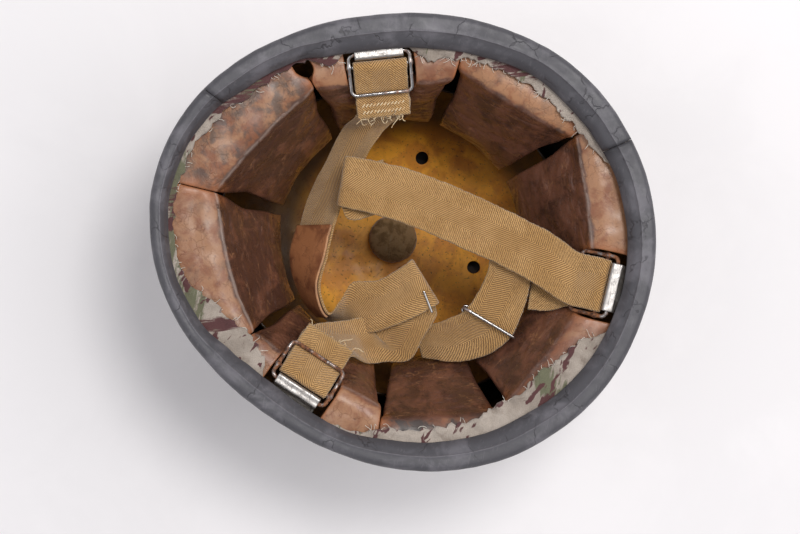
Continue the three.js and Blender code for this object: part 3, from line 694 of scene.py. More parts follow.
def middle(row):
    return (row[0] + row[1]) / 2


def turn_round(row, out, up, radius, steps):
    """Rows that carry a strap round its fold, from one side over the outer point to the other."""
    turns = (math.pi * i / steps for i in range(steps + 1))
    moves = [up * (radius * math.cos(turn)) + out * (radius * math.sin(turn)) for turn in turns]
    return [(row[0] + move, row[1] + move) for move in moves]


def along_ring(clip, pairs, flip=1):
    half = flip * WEB_WIDTH / 2
    return [(clip.point(along, height, -half), clip.point(along, height, half)) for along, height in pairs]


def round_cross_bar(clip, flip=1):
    row = along_ring(clip, [(RING["cross_bar"], 0)], flip)[0]
    return turn_round(row, clip.inward * -1, clip.up, WIRE_RADIUS + GAP + WEB_WALL / 2, 4)


def folded_under(row, out, spread):
    low = tuple(edge - Vector((0, 0, spread / 2)) for edge in row)
    return turn_round(low, Vector(out).normalized(), Vector((0, 0, 1)), spread / 2, 2)


def chin_rows():
    left, right = CLIP_FRAMES["left"], CLIP_FRAMES["right"]
    return [
        *along_ring(left, [(37, -3.6), (30, -3.1), (23, -2.6), (15, 0)], -1),
        *round_cross_bar(left, -1),
        *along_ring(left, [(15, -4.2), (23, -5.6), (34, -7)], -1),
        *CHIN_UPPER[:-1],
        *folded_under(CHIN_UPPER[-1], (0.65, 0.76, 0), 4),
        *CHIN_LOWER,
        *along_ring(right, [(34, -7), (23, -5.6), (15, -4.2)], -1),
        *reversed(round_cross_bar(right, -1)),
        *along_ring(right, [(15, 0), (23, -2.6), (30, -3.1), (37, -3.6)], -1),
    ]


def rear_rows():
    rear = CLIP_FRAMES["rear"]
    return [
        *REAR_UNDER,
        *reversed(folded_under(REAR_UPPER[0], (-1, 0, 0), 4)),
        *REAR_UPPER[1:],
        *along_ring(rear, [(23, 2.8), (15, 2.6)]),
        *round_cross_bar(rear),
        *along_ring(rear, [(15, -3), (23, -3.4)]),
        *REAR_RETURN,
    ]


class Band:
    """A strap's run: its two edges and its upright, in steps of about one millimetre."""

    FINE = 24  # samples from one row to the next

    def __init__(self, rows, first=0, last=None):
        edges = ([row[0] for row in rows], [row[1] for row in rows])
        count = (len(rows) - 1) * self.FINE
        stop = count if last is None else last * self.FINE
        shares = [i / count for i in range(first * self.FINE, stop + 1)]
        samples = [(curve(edges[0], t), curve(edges[1], t)) for t in shares]
        lengths = [0]
        for a, b in zip(samples, samples[1:]):
            lengths.append(lengths[-1] + (middle(b) - middle(a)).length)
        self.length = lengths[-1]
        self.steps = max(2, round(self.length))
        self.edges = []
        i = 0
        for k in range(self.steps + 1):
            along = self.length * k / self.steps
            while i < len(samples) - 2 and lengths[i + 1] < along:
                i += 1
            t = min((along - lengths[i]) / max(lengths[i + 1] - lengths[i], 1e-6), 1)
            self.edges.append(tuple(samples[i][side].lerp(samples[i + 1][side], t) for side in (0, 1)))
        self.normals = [self.normal(k) for k in range(self.steps + 1)]

    def normal(self, k):
        ahead = self.edges[min(k + 1, self.steps)]
        behind = self.edges[max(k - 1, 0)]
        return (middle(ahead) - middle(behind)).cross(self.edges[k][1] - self.edges[k][0]).normalized()

    def at(self, v, share, lift):
        k = min(max(v, 0), 1) * self.steps
        i = min(int(k), self.steps - 1)
        a = self.edges[i][0].lerp(self.edges[i + 1][0], k - i)
        b = self.edges[i][1].lerp(self.edges[i + 1][1], k - i)
        normal = self.normals[i].lerp(self.normals[i + 1], k - i).normalized()
        return a.lerp(b, share) + normal * lift


BAND_COLUMNS = 64


def band_bmesh(band, wall, seed, lift=0.0):
    """A woven or leather band with rounded, slightly uneven edges."""
    width = (band.edges[0][1] - band.edges[0][0]).length

    def across(u):
        half_turn = (u % 0.5) * 2
        share = lerp(half_turn, (1 - math.cos(math.pi * half_turn)) / 2, 0.4)
        return (share, 1) if u < 0.5 else (1 - share, -1)

    def point(u, v):
        share, face = across(u % 1)
        along = v * band.length
        rounding = (1 - abs(2 * share - 1) ** 12) ** (1 / 6) if 0 < share < 1 else 0
        where = Vector((share * width, along, 0))
        edge = smooth(0.8, 1, abs(2 * share - 1)) * (1 if share > 0.5 else -1)
        fray = edge * uneven("strap_edge", where, seed) / width
        ripple = uneven("strap_face", where, seed)
        return band.at(v, share + fray, lift + ripple + face * rounding * wall / 2)

    def paint(u, v):
        share = across(u % 1)[0]
        end = 1 - smooth(0, 4, min(v, 1 - v) * band.length)
        return smooth(0.86, 1, abs(2 * share - 1)), end, 0

    def pattern(u, v):
        share = across(u)[0] if u < 1 else 0
        return share * width * MM, v * band.length * MM

    return mapped_grid(BAND_COLUMNS, band.steps, point, paint, pattern, caps=True)


def slide_axes():
    """Where the slide's middle is, which way it lies short and which way long."""
    row = BRANCH[SLIDE["row"]]
    ahead, behind = BRANCH[SLIDE["row"] + 1], BRANCH[SLIDE["row"] - 1]
    normal = (middle(ahead) - middle(behind)).cross(row[1] - row[0]).normalized()
    across = (row[1] - row[0]).normalized()
    along = across.cross(normal).normalized()
    tilt = math.radians(SLIDE["tilt"])
    return middle(row), along * math.cos(tilt) + normal * math.sin(tilt), across


def slide_bmesh():
    centre, short, across = slide_axes()
    half_width, half_length = SLIDE["half_width"], SLIDE["half_length"]
    corners = rounded_rectangle(-half_width, half_width, half_length, SLIDE["corner"])
    loop = polyline([centre + short * s + across * w for s, w in corners], closed=True)
    eye = centre + across * (half_length + EYELET["radius"] * EYELET["end"]) + short * half_width
    turns = (TURN * i / EYELET["points"] for i in range(EYELET["points"]))
    rounds = [across * math.cos(turn) + short.cross(across) * math.sin(turn) for turn in turns]
    ring = [eye + out * EYELET["radius"] for out in rounds]
    eyelet = wire_bmesh(polyline(ring, closed=True), EYELET["wire"])
    return merged([wire_bmesh(loop, SLIDE["wire"], rows=200), eyelet])


# ----------------------------------------------------------------------- loose threads, stitches

HEM_THREADS = {"count": 90, "radius": 0.13, "lengths": (2, 6), "least_reach": 2, "rise": 0.25}
STRAP_THREADS = {"counts": {"left": 22, "right": 10}, "radius": 0.2, "lengths": (2.5, 3.5, 5, 9)}
STRAP_END = {"along": 36.6, "height": -3.6, "half": 0.48}
STITCHES = {"rows": (33.5, 29.5), "across": range(-11, 12, 2), "half": 0.8, "radius": 0.34}
STRAP_LIE = {"height": -2.95, "at": 30, "slope": 0.04}  # the strap's height from the ring's plane, and its fall


def thread_bmesh(dice, start, heading, length, radius):
    """One loose thread that curls away from its start."""
    pieces = 6
    seed = dice.uniform(0, 50)
    spots = [start]
    for _ in range(pieces):
        bend = Vector([lie(spots[-1], 4, seed + 9 * axis) for axis in range(3)])
        heading = (heading.normalized() + bend).normalized()
        spots.append(spots[-1] + heading * (length / pieces))
    return wire_bmesh(lambda t: curve(spots, t), radius, columns=6, rows=16, closed=False)


def hem_threads(dice):
    """Frayed threads of the cover's torn edge, where it reaches in past the rubber."""
    parts = []
    while len(parts) < HEM_THREADS["count"]:
        turn = dice.random()
        if round_table(RIM_TABLE, "reach", TURN * turn) < HEM_THREADS["least_reach"]:
            continue
        edge, back = cover_point(turn, 1), cover_point(turn, 0.96)
        sideways = Vector((-math.sin(TURN * turn), math.cos(TURN * turn), 0)) * dice.uniform(-1, 1)
        heading = (edge - back).normalized() + sideways + Vector((0, 0, HEM_THREADS["rise"]))
        length = dice.uniform(*HEM_THREADS["lengths"])
        parts.append(thread_bmesh(dice, edge, heading, length, HEM_THREADS["radius"]))
    return merged(parts)


def strap_threads(dice):
    """Frayed yarns at the chin strap's free ends."""
    parts = []
    half = STRAP_END["half"]
    for side, count in STRAP_THREADS["counts"].items():
        clip = CLIP_FRAMES[side]
        for _ in range(count):
            across = dice.uniform(-half, half) * WEB_WIDTH
            start = clip.point(STRAP_END["along"], STRAP_END["height"], across)
            heading = clip.inward + Vector([dice.uniform(-0.8, 0.8) for axis in range(3)])
            length = dice.choice(STRAP_THREADS["lengths"])
            parts.append(thread_bmesh(dice, start, heading, length, STRAP_THREADS["radius"]))
    return merged(parts)


def stitches():
    """Slanted stitches through the two layers of the chin strap at its left ring."""
    parts = []
    clip = CLIP_FRAMES["left"]
    steps = (-STITCHES["half"], STITCHES["half"])
    for along in STITCHES["rows"]:
        top = STRAP_LIE["height"] + WEB_WALL / 2 - STRAP_LIE["slope"] * (along - STRAP_LIE["at"])
        for across in STITCHES["across"]:
            ends = [clip.point(along + step, top, across + step) for step in steps]
            parts.append(wire_bmesh(polyline(ends), STITCHES["radius"], columns=8, rows=6, closed=False))
    return merged(parts)


# ------------------------------------------------------------------------------ shader effects

def rgb(code):
    """A linear colour from its usual six-figure form."""
    parts = [int(code[i:i + 2], 16) / 255 for i in (0, 2, 4)]
    return [part / 12.92 if part <= 0.04045 else ((part + 0.055) / 1.055) ** 2.4 for part in parts]


class Nodes:
    """Adds shader nodes to a tree, each wired as it is added. Textures lie at place unless told otherwise."""

    def __init__(self, tree, place_of):
        self.tree = tree
        self.place = place_of

    def add(self, kind, inputs, **settings):
        node = self.tree.nodes.new("ShaderNode" + kind)
        for key, value in settings.items():
            setattr(node, key, value)
        for key, value in inputs.items():
            self.feed(node.inputs[key], value)
        return node

    def feed(self, socket, value):
        """Links a socket, or sets it. A colour may be in its six-figure form."""
        if isinstance(value, bpy.types.NodeSocket):
            self.tree.links.new(value, socket)
        elif socket.type == "RGBA":
            socket.default_value = (*(rgb(value) if isinstance(value, str) else value), 1)
        else:
            socket.default_value = value

    def scale(self, size):
        """The scale of a texture whose features have a size in millimetres."""
        if isinstance(size, bpy.types.NodeSocket):
            return self.math("DIVIDE", 1 / MM, size)
        return 1 / (size * MM)

    def noise(self, size, detail=3.0, roughness=0.5, distortion=0.0, vector=None, output="Fac"):
        """Noise, mostly between 0.3 and 0.7, with features of a size in millimetres."""
        inputs = {"Vector": vector or self.place, "Scale": self.scale(size), "Detail": detail,
                  "Roughness": roughness, "Distortion": distortion}
        return self.add("TexNoise", inputs).outputs[output]

    def cells(self, size, feature, vector=None):
        inputs = {"Vector": vector or self.place, "Scale": self.scale(size)}
        return self.add("TexVoronoi", inputs, feature=feature).outputs["Distance"]

    def math(self, operation, a, b=0.0):
        return self.add("Math", {0: a, 1: b}, operation=operation).outputs[0]

    def times(self, *values):
        product = values[0]
        for value in values[1:]:
            product = self.math("MULTIPLY", product, value)
        return product

    def total(self, *values):
        whole = values[0]
        for value in values[1:]:
            whole = self.math("ADD", whole, value)
        return whole

    def band(self, value, low, high, start=0.0, stop=1.0):
        """Eases from start to stop as the value goes from low to high."""
        inputs = {"Value": value, "From Min": low, "From Max": high, "To Min": start, "To Max": stop}
        return self.add("MapRange", inputs, interpolation_type="SMOOTHSTEP").outputs["Result"]

    def mix(self, share, a, b):
        return self.add("Mix", {0: share, 6: a, 7: b}, data_type="RGBA").outputs[2]

    def stretched(self, x=1.0, y=1.0, z=1.0, turn=0.0, vector=None):
        inputs = {"Vector": vector or self.place, "Scale": (x, y, z), "Rotation": (0, 0, math.radians(turn))}
        return self.add("Mapping", inputs).outputs["Vector"]

    def axes(self):
        return self.add("SeparateXYZ", {"Vector": self.place}).outputs

    def effect(self, name, **inputs):
        """Places one of the shared effects, which is built the first time that it is asked for."""
        node = self.tree.nodes.new("ShaderNodeGroup")
        node.node_tree = bpy.data.node_groups.get(name) or built_effect(name)
        for key, value in {"vector": self.place, **inputs}.items():
            self.feed(node.inputs[key.replace("_", " ")], value)
        return node.outputs


def built_effect(name):
    """Makes a shared effect's node group, with named inputs and outputs."""
    make, inputs, outputs = EFFECTS[name]
    tree = bpy.data.node_groups.new(name, "ShaderNodeTree")
    tree.interface.new_socket("vector", in_out="INPUT", socket_type="NodeSocketVector")
    for label, default in inputs.items():
        kind = "Color" if isinstance(default, tuple) else "Float"
        socket = tree.interface.new_socket(label, in_out="INPUT", socket_type="NodeSocket" + kind)
        socket.default_value = default
    for label in outputs:
        kind = "Color" if label == "colour" else "Float"
        tree.interface.new_socket(label, in_out="OUTPUT", socket_type="NodeSocket" + kind)
    into = tree.nodes.new("NodeGroupInput").outputs
    out = tree.nodes.new("NodeGroupOutput").inputs
    n = Nodes(tree, into["vector"])
    for label, value in zip(outputs, make(n, into)):
        n.feed(out[label], value)
    return tree


def mottle(n, into):
    """Two colours in soft patches of one size, broken up by finer ones."""
    offset = n.math("SUBTRACT", into["balance"], 0.5)
    share = n.band(n.total(n.noise(into["size"], 5.0, 0.62, 0.4), n.times(offset, 0.5)), 0.4, 0.6)
    return n.mix(share, into["first colour"], into["second colour"]), share


def creases(n, into):
    """Fine lines where leather or rubber has folded, and where they lie deep."""
    wander = n.noise(1 / 0.18, 2.0, output="Color")
    aside = n.add("VectorMath", {0: wander, "Scale": 0.008}, operation="SCALE").outputs[0]
    bent = n.add("VectorMath", {0: n.place, 1: aside}, operation="ADD").outputs[0]
    edge = n.cells(into["size"], "DISTANCE_TO_EDGE", bent)
    lines = n.times(n.band(edge, 0.0, into["width"], 1.0, 0.0), n.band(n.noise(14, 2), 0.44, 0.58))
    return lines, n.times(lines, -1.0)


def grain(n, into):
    """The fine pebble of a skin or the nap of a felt."""
    speck = n.noise(n.times(into["size"], 1 / 1.7))
    return (n.total(n.times(n.cells(into["size"], "SMOOTH_F1"), 0.6), n.times(speck, 0.5)),)


def herringbone(n, into):
    """Twill lines that turn back at every band's edge, from a pattern that runs across and along a strap."""
    frayed = n.noise(1 / 0.9, 2.0)
    loose = n.math("SUBTRACT", frayed, 0.5)
    x, y = (n.math("DIVIDE", axis, MM) for axis in n.axes()[:2])
    zigzag = n.math("PINGPONG", n.total(x, n.times(loose, 0.5)), into["chevron"])
    lean = n.total(y, n.times(zigzag, 0.95), n.times(loose, 0.7))
    twill = n.band(n.math("SINE", n.math("DIVIDE", n.times(lean, TURN), into["pitch"])), -0.9, 0.9)
    yarn = n.math("SINE", n.math("DIVIDE", n.times(n.total(x, n.times(y, 0.2)), TURN), 0.62))
    height = n.total(n.times(twill, 0.8), n.times(yarn, 0.12), n.times(frayed, 0.35))
    return height, n.times(twill, n.band(frayed, 0.25, 0.6, 0.5, 1.0))


def scratches(n, into):
    """Thin scratches in two directions."""
    ways = [n.stretched(1.0, along, 0.5, turn) for turn, along in ((25, 0.12), (-50, 0.16))]
    marks = [n.band(n.noise(into["size"], 4.0, 0.7, vector=way), 0.6, 0.68) for way in ways]
    return (n.math("MAXIMUM", *marks),)


def brush_marks(n, into):
    """Long dry brush strokes laid one way, as on hand-painted camouflage."""
    moved = n.add("CombineXYZ", {"X": into["seed"], "Y": n.times(into["seed"], 0.7), "Z": into["seed"]})
    laid = n.add("VectorMath", {0: n.place, 1: moved.outputs[0]}, operation="ADD").outputs[0]
    patch = n.noise(into["size"], 2.0, distortion=0.6, vector=n.stretched(1, 0.45, 0.8, vector=laid))
    bristle = n.noise(1.6, 3, 0.6, vector=n.stretched(1, 0.05, 0.6, vector=laid))
    broken = n.times(n.math("SUBTRACT", bristle, 0.5), 0.22)
    return (n.band(n.total(patch, broken, n.times(into["amount"], 0.2)), 0.61, 0.65),)


# What makes each effect, its inputs besides the vector, and its outputs.
EFFECTS = {
    "mottle": (mottle, {"size": 10.0, "first colour": (1, 1, 1, 1), "second colour": (0, 0, 0, 1),
                        "balance": 0.5}, ("colour", "share")),
    "creases": (creases, {"size": 10.0, "width": 0.05}, ("lines", "height")),
    "grain": (grain, {"size": 0.8}, ("height",)),
    "herringbone": (herringbone, {"pitch": 1.45, "chevron": 10.0}, ("height", "share")),
    "scratches": (scratches, {"size": 1.0}, ("share",)),
    "brush_marks": (brush_marks, {"size": 30.0, "amount": 0.5, "seed": 0.0}, ("share",)),
}


class Surface(Nodes):
    """A material under way: its shader, the colour laid on so far, and one bump for each height."""

    def __init__(self, name, **constants):
        self.material = bpy.data.materials.new(name)
        self.material.use_nodes = True
        tree = self.material.node_tree
        super().__init__(tree, tree.nodes.new("ShaderNodeTexCoord").outputs["Object"])
        self.shader = tree.nodes["Principled BSDF"].inputs
        for key, value in constants.items():
            self.feed(self.shader[key.replace("_", " ")], value)
        self.colour = None
        self.normal = None

    def shares(self):
        """The three shares painted on the piece."""
        painted = self.add("Attribute", {}, attribute_name="shares").outputs["Color"]
        return list(self.add("SeparateColor", {"Color": painted}).outputs)

    def patches(self, size, balance, vector=None):
        """Soft patches of a size in millimetres, as a share. They cover more with more balance."""
        return self.effect("mottle", vector=vector or self.place, size=size, balance=balance)["share"]

    def mottled(self, size, first, second, balance, vector=None):
        """The same patches as two colours."""
        return self.effect("mottle", vector=vector or self.place, size=size, balance=balance,
                           first_colour=first, second_colour=second)["colour"]

    def coat(self, colour, share, *amounts):
        """Lays a colour over the rest, as far as the share times the amounts."""
        self.colour = self.mix(self.times(share, *amounts), self.colour, colour)

    def bump(self, height, depth, strength):
        """Adds relief, depth being its full height in millimetres."""
        inputs = {"Height": height, "Distance": depth * MM, "Strength": strength}
        if self.normal:
            inputs["Normal"] = self.normal
        self.normal = self.add("Bump", inputs).outputs["Normal"]

    def finish(self, roughness, **more):
        for key, value in {"Base Color": self.colour, "Roughness": roughness, **more}.items():
            self.feed(self.shader[key], value)
        if self.normal:
            self.feed(self.shader["Normal"], self.normal)
        return self.material


# ----------------------------------------------------------------------------------- materials

def rubber_material(colors):
    s = Surface("aged_rubber", Specular_IOR_Level=0.45)
    line, edge, joint = s.shares()
    s.colour = s.mottled(22, colors.rubber, colors.rubber_bloom, 0.35)
    s.coat(colors.rubber_bloom, s.patches(3, 0.1), 0.25)
    cracks = s.effect("creases", vector=s.stretched(1, 1, 0.6), size=26, width=0.018)
    s.coat("2b292d", cracks["lines"], 0.7)
    scuffs = s.effect("scratches", size=1.6)["share"]
    s.coat("8a878d", scuffs, 0.15)
    s.coat("77757b", line, s.band(s.noise(5), 0.3, 0.55, 0.1, 0.5))
    s.coat("38363a", edge, 0.3)
    s.coat("232226", joint, 0.6)
    s.bump(s.noise(9), 0.7, 0.5)
    s.bump(s.total(cracks["height"], s.times(s.noise(0.5), 0.35)), 0.25, 0.7)
    return s.finish(s.total(s.band(s.noise(11, 4, 0.6), 0.3, 0.7, 0.42, 0.6), s.times(scuffs, 0.1)))


TATTERS_FROM, TATTERS_FULL = 150, 152  # heights at which the hem's maroon tatters set in


def cloth_material(colors):
    s = Surface("camouflage_cloth", Specular_IOR_Level=0.2, Sheen_Weight=0.25, Sheen_Roughness=0.5)

    def strokes(turn, size, amount, seed):
        laid = s.stretched(turn=turn)
        return s.effect("brush_marks", vector=laid, size=size, amount=amount, seed=seed)["share"]

    s.colour = s.mottled(38, colors.cloth, colors.cloth_faded, 0.5)
    s.coat(colors.cloth_green, strokes(0, 46, 0.35, 0.3))
    s.coat(colors.cloth_maroon, strokes(70, 40, 0.3, 1.7))
    s.coat("5f4d40", s.patches(7, 0.25), 0.4)
    high = s.band(s.axes()["Z"], TATTERS_FROM * MM, TATTERS_FULL * MM)
    s.coat(colors.cloth_maroon, strokes(20, 6, 0.15, 2.6), high)
    waves = [s.math("SINE", s.times(axis, TURN / (0.9 * MM))) for axis in s.axes()]
    weave = s.total(*(s.times(waves[i], waves[j]) for i, j in ((0, 1), (1, 2), (0, 2))))
    s.coat("3d382f", s.band(weave, -1.2, 1.2, 0.0, 0.18))
    s.bump(s.total(s.noise(12, 4), s.times(s.noise(3.5), 0.4)), 2.2, 0.6)
    s.bump(s.total(s.times(weave, 0.16), s.times(s.noise(0.5, 2), 0.8)), 0.3, 0.8)
    return s.finish(0.92)


# Where the painted shade round the dome begins and where it is full, from a middle set 12 mm towards the back.
DOME_SHADE = {"middle": 12, "from": 60, "full": 80}


def dome_material(colors):
    s = Surface("ochre_varnish", Specular_IOR_Level=0.5)
    s.colour = s.mottled(17, colors.ochre, colors.ochre_dark, 0.5)
    s.coat("c58f45", s.patches(8, 0.15), 0.5)
    s.coat(colors.rust, s.patches(13, 0.3, s.stretched(1.3, 0.7, 1, 35)), 0.35)
    pits = s.band(s.noise(1.6, 3, 0.6), 0.6, 0.68)
    s.coat("3a2413", pits, 0.6)
    x, y, _ = s.axes()
    # Painted shade: the dome darkens from its middle out to its rim, standing in for the shade under the
    # fingers and straps.
    aside = s.math("ADD", x, -DOME_SHADE["middle"] * MM)
    spread = s.math("SQRT", s.total(s.times(aside, aside), s.times(y, y)))
    s.coat(colors.dome_painted_shade, s.band(spread, DOME_SHADE["from"] * MM, DOME_SHADE["full"] * MM, 0.0, 0.93))
    s.bump(s.noise(6, 4), 0.5, 0.6)
    s.bump(s.math("SUBTRACT", 1.0, pits), 0.12, 0.8)
    return s.finish(s.band(s.noise(9), 0.35, 0.65, 0.34, 0.6))


def felt_material(colors):
    s = Surface("brown_felt", Specular_IOR_Level=0.15, Sheen_Weight=0.5, Sheen_Roughness=0.4)
    s.colour = s.mottled(5, colors.felt, "6f5638", 0.45)
    s.coat("9b8468", s.effect("scratches", size=0.9)["share"], 0.5)
    s.bump(s.effect("grain", size=1.1)["height"], 0.7, 0.9)
    return s.finish(0.95)


def leather_material(pad, colors):
    """Old liner leather: a tan ledge, partly painted light on its lit top, and a dark glossy face; the pale
    line along the bend is partly rubbed leather and partly a painted highlight.
    """
    s = Surface("leather_" + pad["side"], Specular_IOR_Level=0.5, Coat_Weight=0.35, Coat_Roughness=0.3)
    tan, dark, worn, stain = (pad[key] for key in ("tan", "dark", "worn", "stain"))
    ridge, ledge, side = s.shares()
    ledge = s.band(s.total(ledge, s.times(s.math("SUBTRACT", s.noise(7, 4), 0.5), 0.8)), 0.35, 0.75)
    s.colour = s.mottled(16, colors.leather, colors.leather_dark, 0.25 + 0.5 * dark, s.stretched(z=0.6))
    s.coat(colors.leather_warm, s.patches(6, 0.3), 0.2)
    # The ledge is painted lighter than the face: partly tan leather, partly painted light where its top faces
    # up to the light.
    top = s.mottled(11, colors.leather_tan, colors.leather_warm, 0.75 - 0.5 * tan)
    s.coat(top, ledge, 0.45 + 0.55 * tan)
    s.coat("38211a", s.patches(2.4, 0.16), 0.55)
    folds = s.effect("creases", vector=s.stretched(0.6, 0.6, 1.5), size=17, width=0.03)
    s.coat(colors.leather_crease, folds["lines"], 0.3)
    cracked = s.effect("creases", vector=s.stretched(0.45, 0.45, 2.2, 15), size=20, width=0.014)["lines"]
    s.coat(colors.leather_tan, cracked, s.math("SUBTRACT", 1.0, ledge), 0.6)
    fine = s.effect("creases", vector=s.stretched(1, 1, 1.4, 30), size=6, width=0.05)
    s.coat("2c1812", fine["lines"], 0.2)
    s.coat("35302f", s.patches(9, 0.2 + 0.4 * stain, s.stretched(1, 1, 0.5, 60)), ledge, stain)
    s.coat(colors.leather_valley, side, s.band(s.noise(4, 4), 0.3, 0.6, 0.3, 0.9))
    # Painted highlight along the bend, partly rubbed leather too: pale where the fold would catch the light.
    rub_and_highlight = s.band(s.total(s.noise(5, 4, 0.6), 0.2 * worn), 0.44, 0.66)
    s.coat(colors.leather_rub_and_highlight, ridge, rub_and_highlight, worn, 0.5)
    s.bump(s.total(s.noise(8, 4), s.times(folds["height"], -0.25)), 0.6, 0.5)
    pebble = s.effect("grain", size=0.9)["height"]
    s.bump(s.total(s.times(pebble, 0.7), s.times(fine["height"], 0.8)), 0.22, 0.7)
    return s.finish(s.total(s.band(s.noise(6, 4), 0.3, 0.7, 0.24, 0.42), s.times(ledge, 0.2)))


def chin_leather_material(colors):
    s = Surface("chin_leather", Specular_IOR_Level=0.4)
    s.colour = s.mottled(12, colors.lining, colors.lining_dark, 0.45)
    s.coat("c49a74", s.band(s.shares()[0], 0.4, 0.9), 0.5)
    folds = s.effect("creases", size=7, width=0.05)
    s.coat("5b3421", folds["lines"], 0.4)
    s.bump(s.effect("grain", size=0.7)["height"], 0.25, 0.8)
    s.bump(folds["height"], 0.3, 0.6)
    return s.finish(0.6)


def webbing_material(colors, pitch, chevron):
    s = Surface("herringbone_webbing", Specular_IOR_Level=0.2, Sheen_Weight=0.35, Sheen_Roughness=0.5)
    edge, end = s.shares()[:2]
    pattern = s.add("UVMap", {}, uv_map="pattern").outputs["UV"]
    twill = s.effect("herringbone", vector=pattern, pitch=pitch, chevron=chevron)
    s.colour = s.mottled(24, colors.webbing, colors.webbing_faded, 0.5)
    s.coat(colors.webbing_gap, s.band(twill["share"], 0.1, 0.7, 0.75, 0.0))
    s.coat(colors.webbing_stain, s.patches(15, 0.16), 0.5)
    lint = s.noise(0.5, 3, 0.7, vector=s.stretched(1, 0.3, vector=pattern))
    s.coat("cdb389", s.band(lint, 0.6, 0.7), 0.35)
    s.coat("b79a6c", s.math("MAXIMUM", edge, end), 0.25)
    s.bump(s.noise(8), 0.8, 0.4)
    s.bump(twill["height"], 0.42, 0.9)
    return s.finish(0.93)


def thread_material(name, first, second):
    s = Surface(name, Specular_IOR_Level=0.2, Sheen_Weight=0.3)
    s.colour = s.mottled(2, first, second, 0.6)
    return s.finish(0.9)


def aluminium_material():
    s = Surface("scratched_aluminium", Specular_IOR_Level=0.5)
    scratch = s.effect("scratches", size=0.9)["share"]
    dirt = s.patches(4, 0.2)
    s.colour = "b5b1ae"
    s.coat("6d655e", dirt, 0.6)
    s.coat("5f5b58", scratch, 0.6)
    s.bump(s.total(s.times(scratch, -0.6), s.noise(2.2)), 0.25, 0.7)
    return s.finish(s.band(s.noise(2), 0.3, 0.7, 0.3, 0.55), Metallic=s.band(dirt, 0.2, 0.9, 0.95, 0.6))


def wire_material(name, rust_share):
    s = Surface(name, Specular_IOR_Level=0.5)
    rust = s.patches(6, rust_share)
    s.colour = "aaa7a6"
    s.coat(s.mottled(2, "8a5a3a", "4a2f22", 0.5), rust)
    s.bump(s.times(rust, s.noise(0.8)), 0.2, 0.8)
    return s.finish(s.band(rust, 0.0, 1.0, 0.16, 0.75), Metallic=s.band(rust, 0.0, 1.0, 1.0, 0.25))


# The inside of the steel is near-black: dark paint, and partly painted shade for the deep gaps between the
# fingers and round the rim.
def steel_material():
    s = Surface("dark_steel_and_painted_shade", Specular_IOR_Level=0.4)
    s.colour = s.mottled(18, "181412", "2e2019", 0.35)
    s.bump(s.noise(3, 4), 0.3, 0.5)
    return s.finish(s.band(s.noise(9), 0.3, 0.7, 0.5, 0.75))


def floor_material(color):
    s = Surface("pale_floor", Specular_IOR_Level=0.2)
    s.colour = s.mottled(160, color, [part * 0.97 for part in color], 0.5)
    return s.finish(0.8)


# ---------------------------------------------------------------------------------- properties

def colour_property(name, code):
    return FloatVectorProperty(name=name, description="Colour of the " + name.lower(), subtype="COLOR",
                               default=rgb(code), min=0, max=1)


def length_property(name, description, millimetres):
    return FloatProperty(name=name, description=description, default=millimetres * MM, unit="LENGTH")


def level_property(name, description, level):
    return FloatProperty(name=name, description=description, default=level, min=0, soft_max=4,
                         subtype="FACTOR")


class HelmetColours(bpy.types.PropertyGroup):
    """Colours of the finishes."""
    rubber: colour_property("Rubber", "4a494e")
    rubber_bloom: colour_property("Rubber bloom", "646268")
    cloth: colour_property("Cloth", "978c82")
    cloth_faded: colour_property("Faded cloth", "b0a59b")
    cloth_green: colour_property("Cloth's green marks", "6b6b56")
    cloth_maroon: colour_property("Cloth's maroon marks", "59393a")
    ochre: colour_property("Ochre varnish", "f5ac38")
    ochre_dark: colour_property("Dark varnish", "d98e33")
    # The colour of the painted shade round the dome's rim.
    dome_painted_shade: colour_property("Painted shade round the dome", "20140d")
    rust: colour_property("Rust stains", "8a3f17")
    felt: colour_property("Felt", "927553")
    leather: colour_property("Leather", "6c4636")
    leather_dark: colour_property("Dark leather", "4a3026")
    leather_warm: colour_property("Warm leather", "86502f")
    leather_tan: colour_property("Tan leather", "a37552")
    # Also the ledge's lighter tone, which is partly painted light on the ledge's lit top.
    leather_crease: colour_property("Leather creases", "8a5f48")
    leather_valley: colour_property("Leather between fingers", "9c613c")
    # The pale line along the bend: a painted highlight, and partly rubbed leather.
    leather_rub_and_highlight: colour_property("Rubbed and highlit leather", "c5b3a9")
    lining: colour_property("Chin leather", "a06842")
    lining_dark: colour_property("Dark chin leather", "7c4a2d")
    webbing: colour_property("Webbing", "bb9059")
    webbing_faded: colour_property("Faded webbing", "ca9f68")
    webbing_gap: colour_property("Webbing between yarns", "5f4222")
    webbing_stain: colour_property("Webbing stains", "7a5230")
    floor: colour_property("Floor", "f0eef0")


class HelmetSizes(bpy.types.PropertyGroup):
    """Sizes of what the scene adds to the frame."""
    twill_pitch: length_property("Twill pitch", "Distance from one twill line to the next", 1.45)
    chevron: length_property("Chevron width", "Width of one band of the herringbone", 10)
    cloth_wall: length_property("Cloth wall", "Thickness of the cover", COVER_WALL)
    vent_radius: length_property("Vent radius", "Radius of the dome's vent holes", 4)
    lens: FloatProperty(name="Lens", description="Focal length of the camera", default=74.3, unit="CAMERA")
    key_light: level_property("Key light", "Strength of the lights from the helmet's back", 1)
    fill_light: level_property("Fill light", "Strength of the light from the helmet's front", 1)
    room_light: level_property("Room light", "Strength of the light from all round", 0.47)


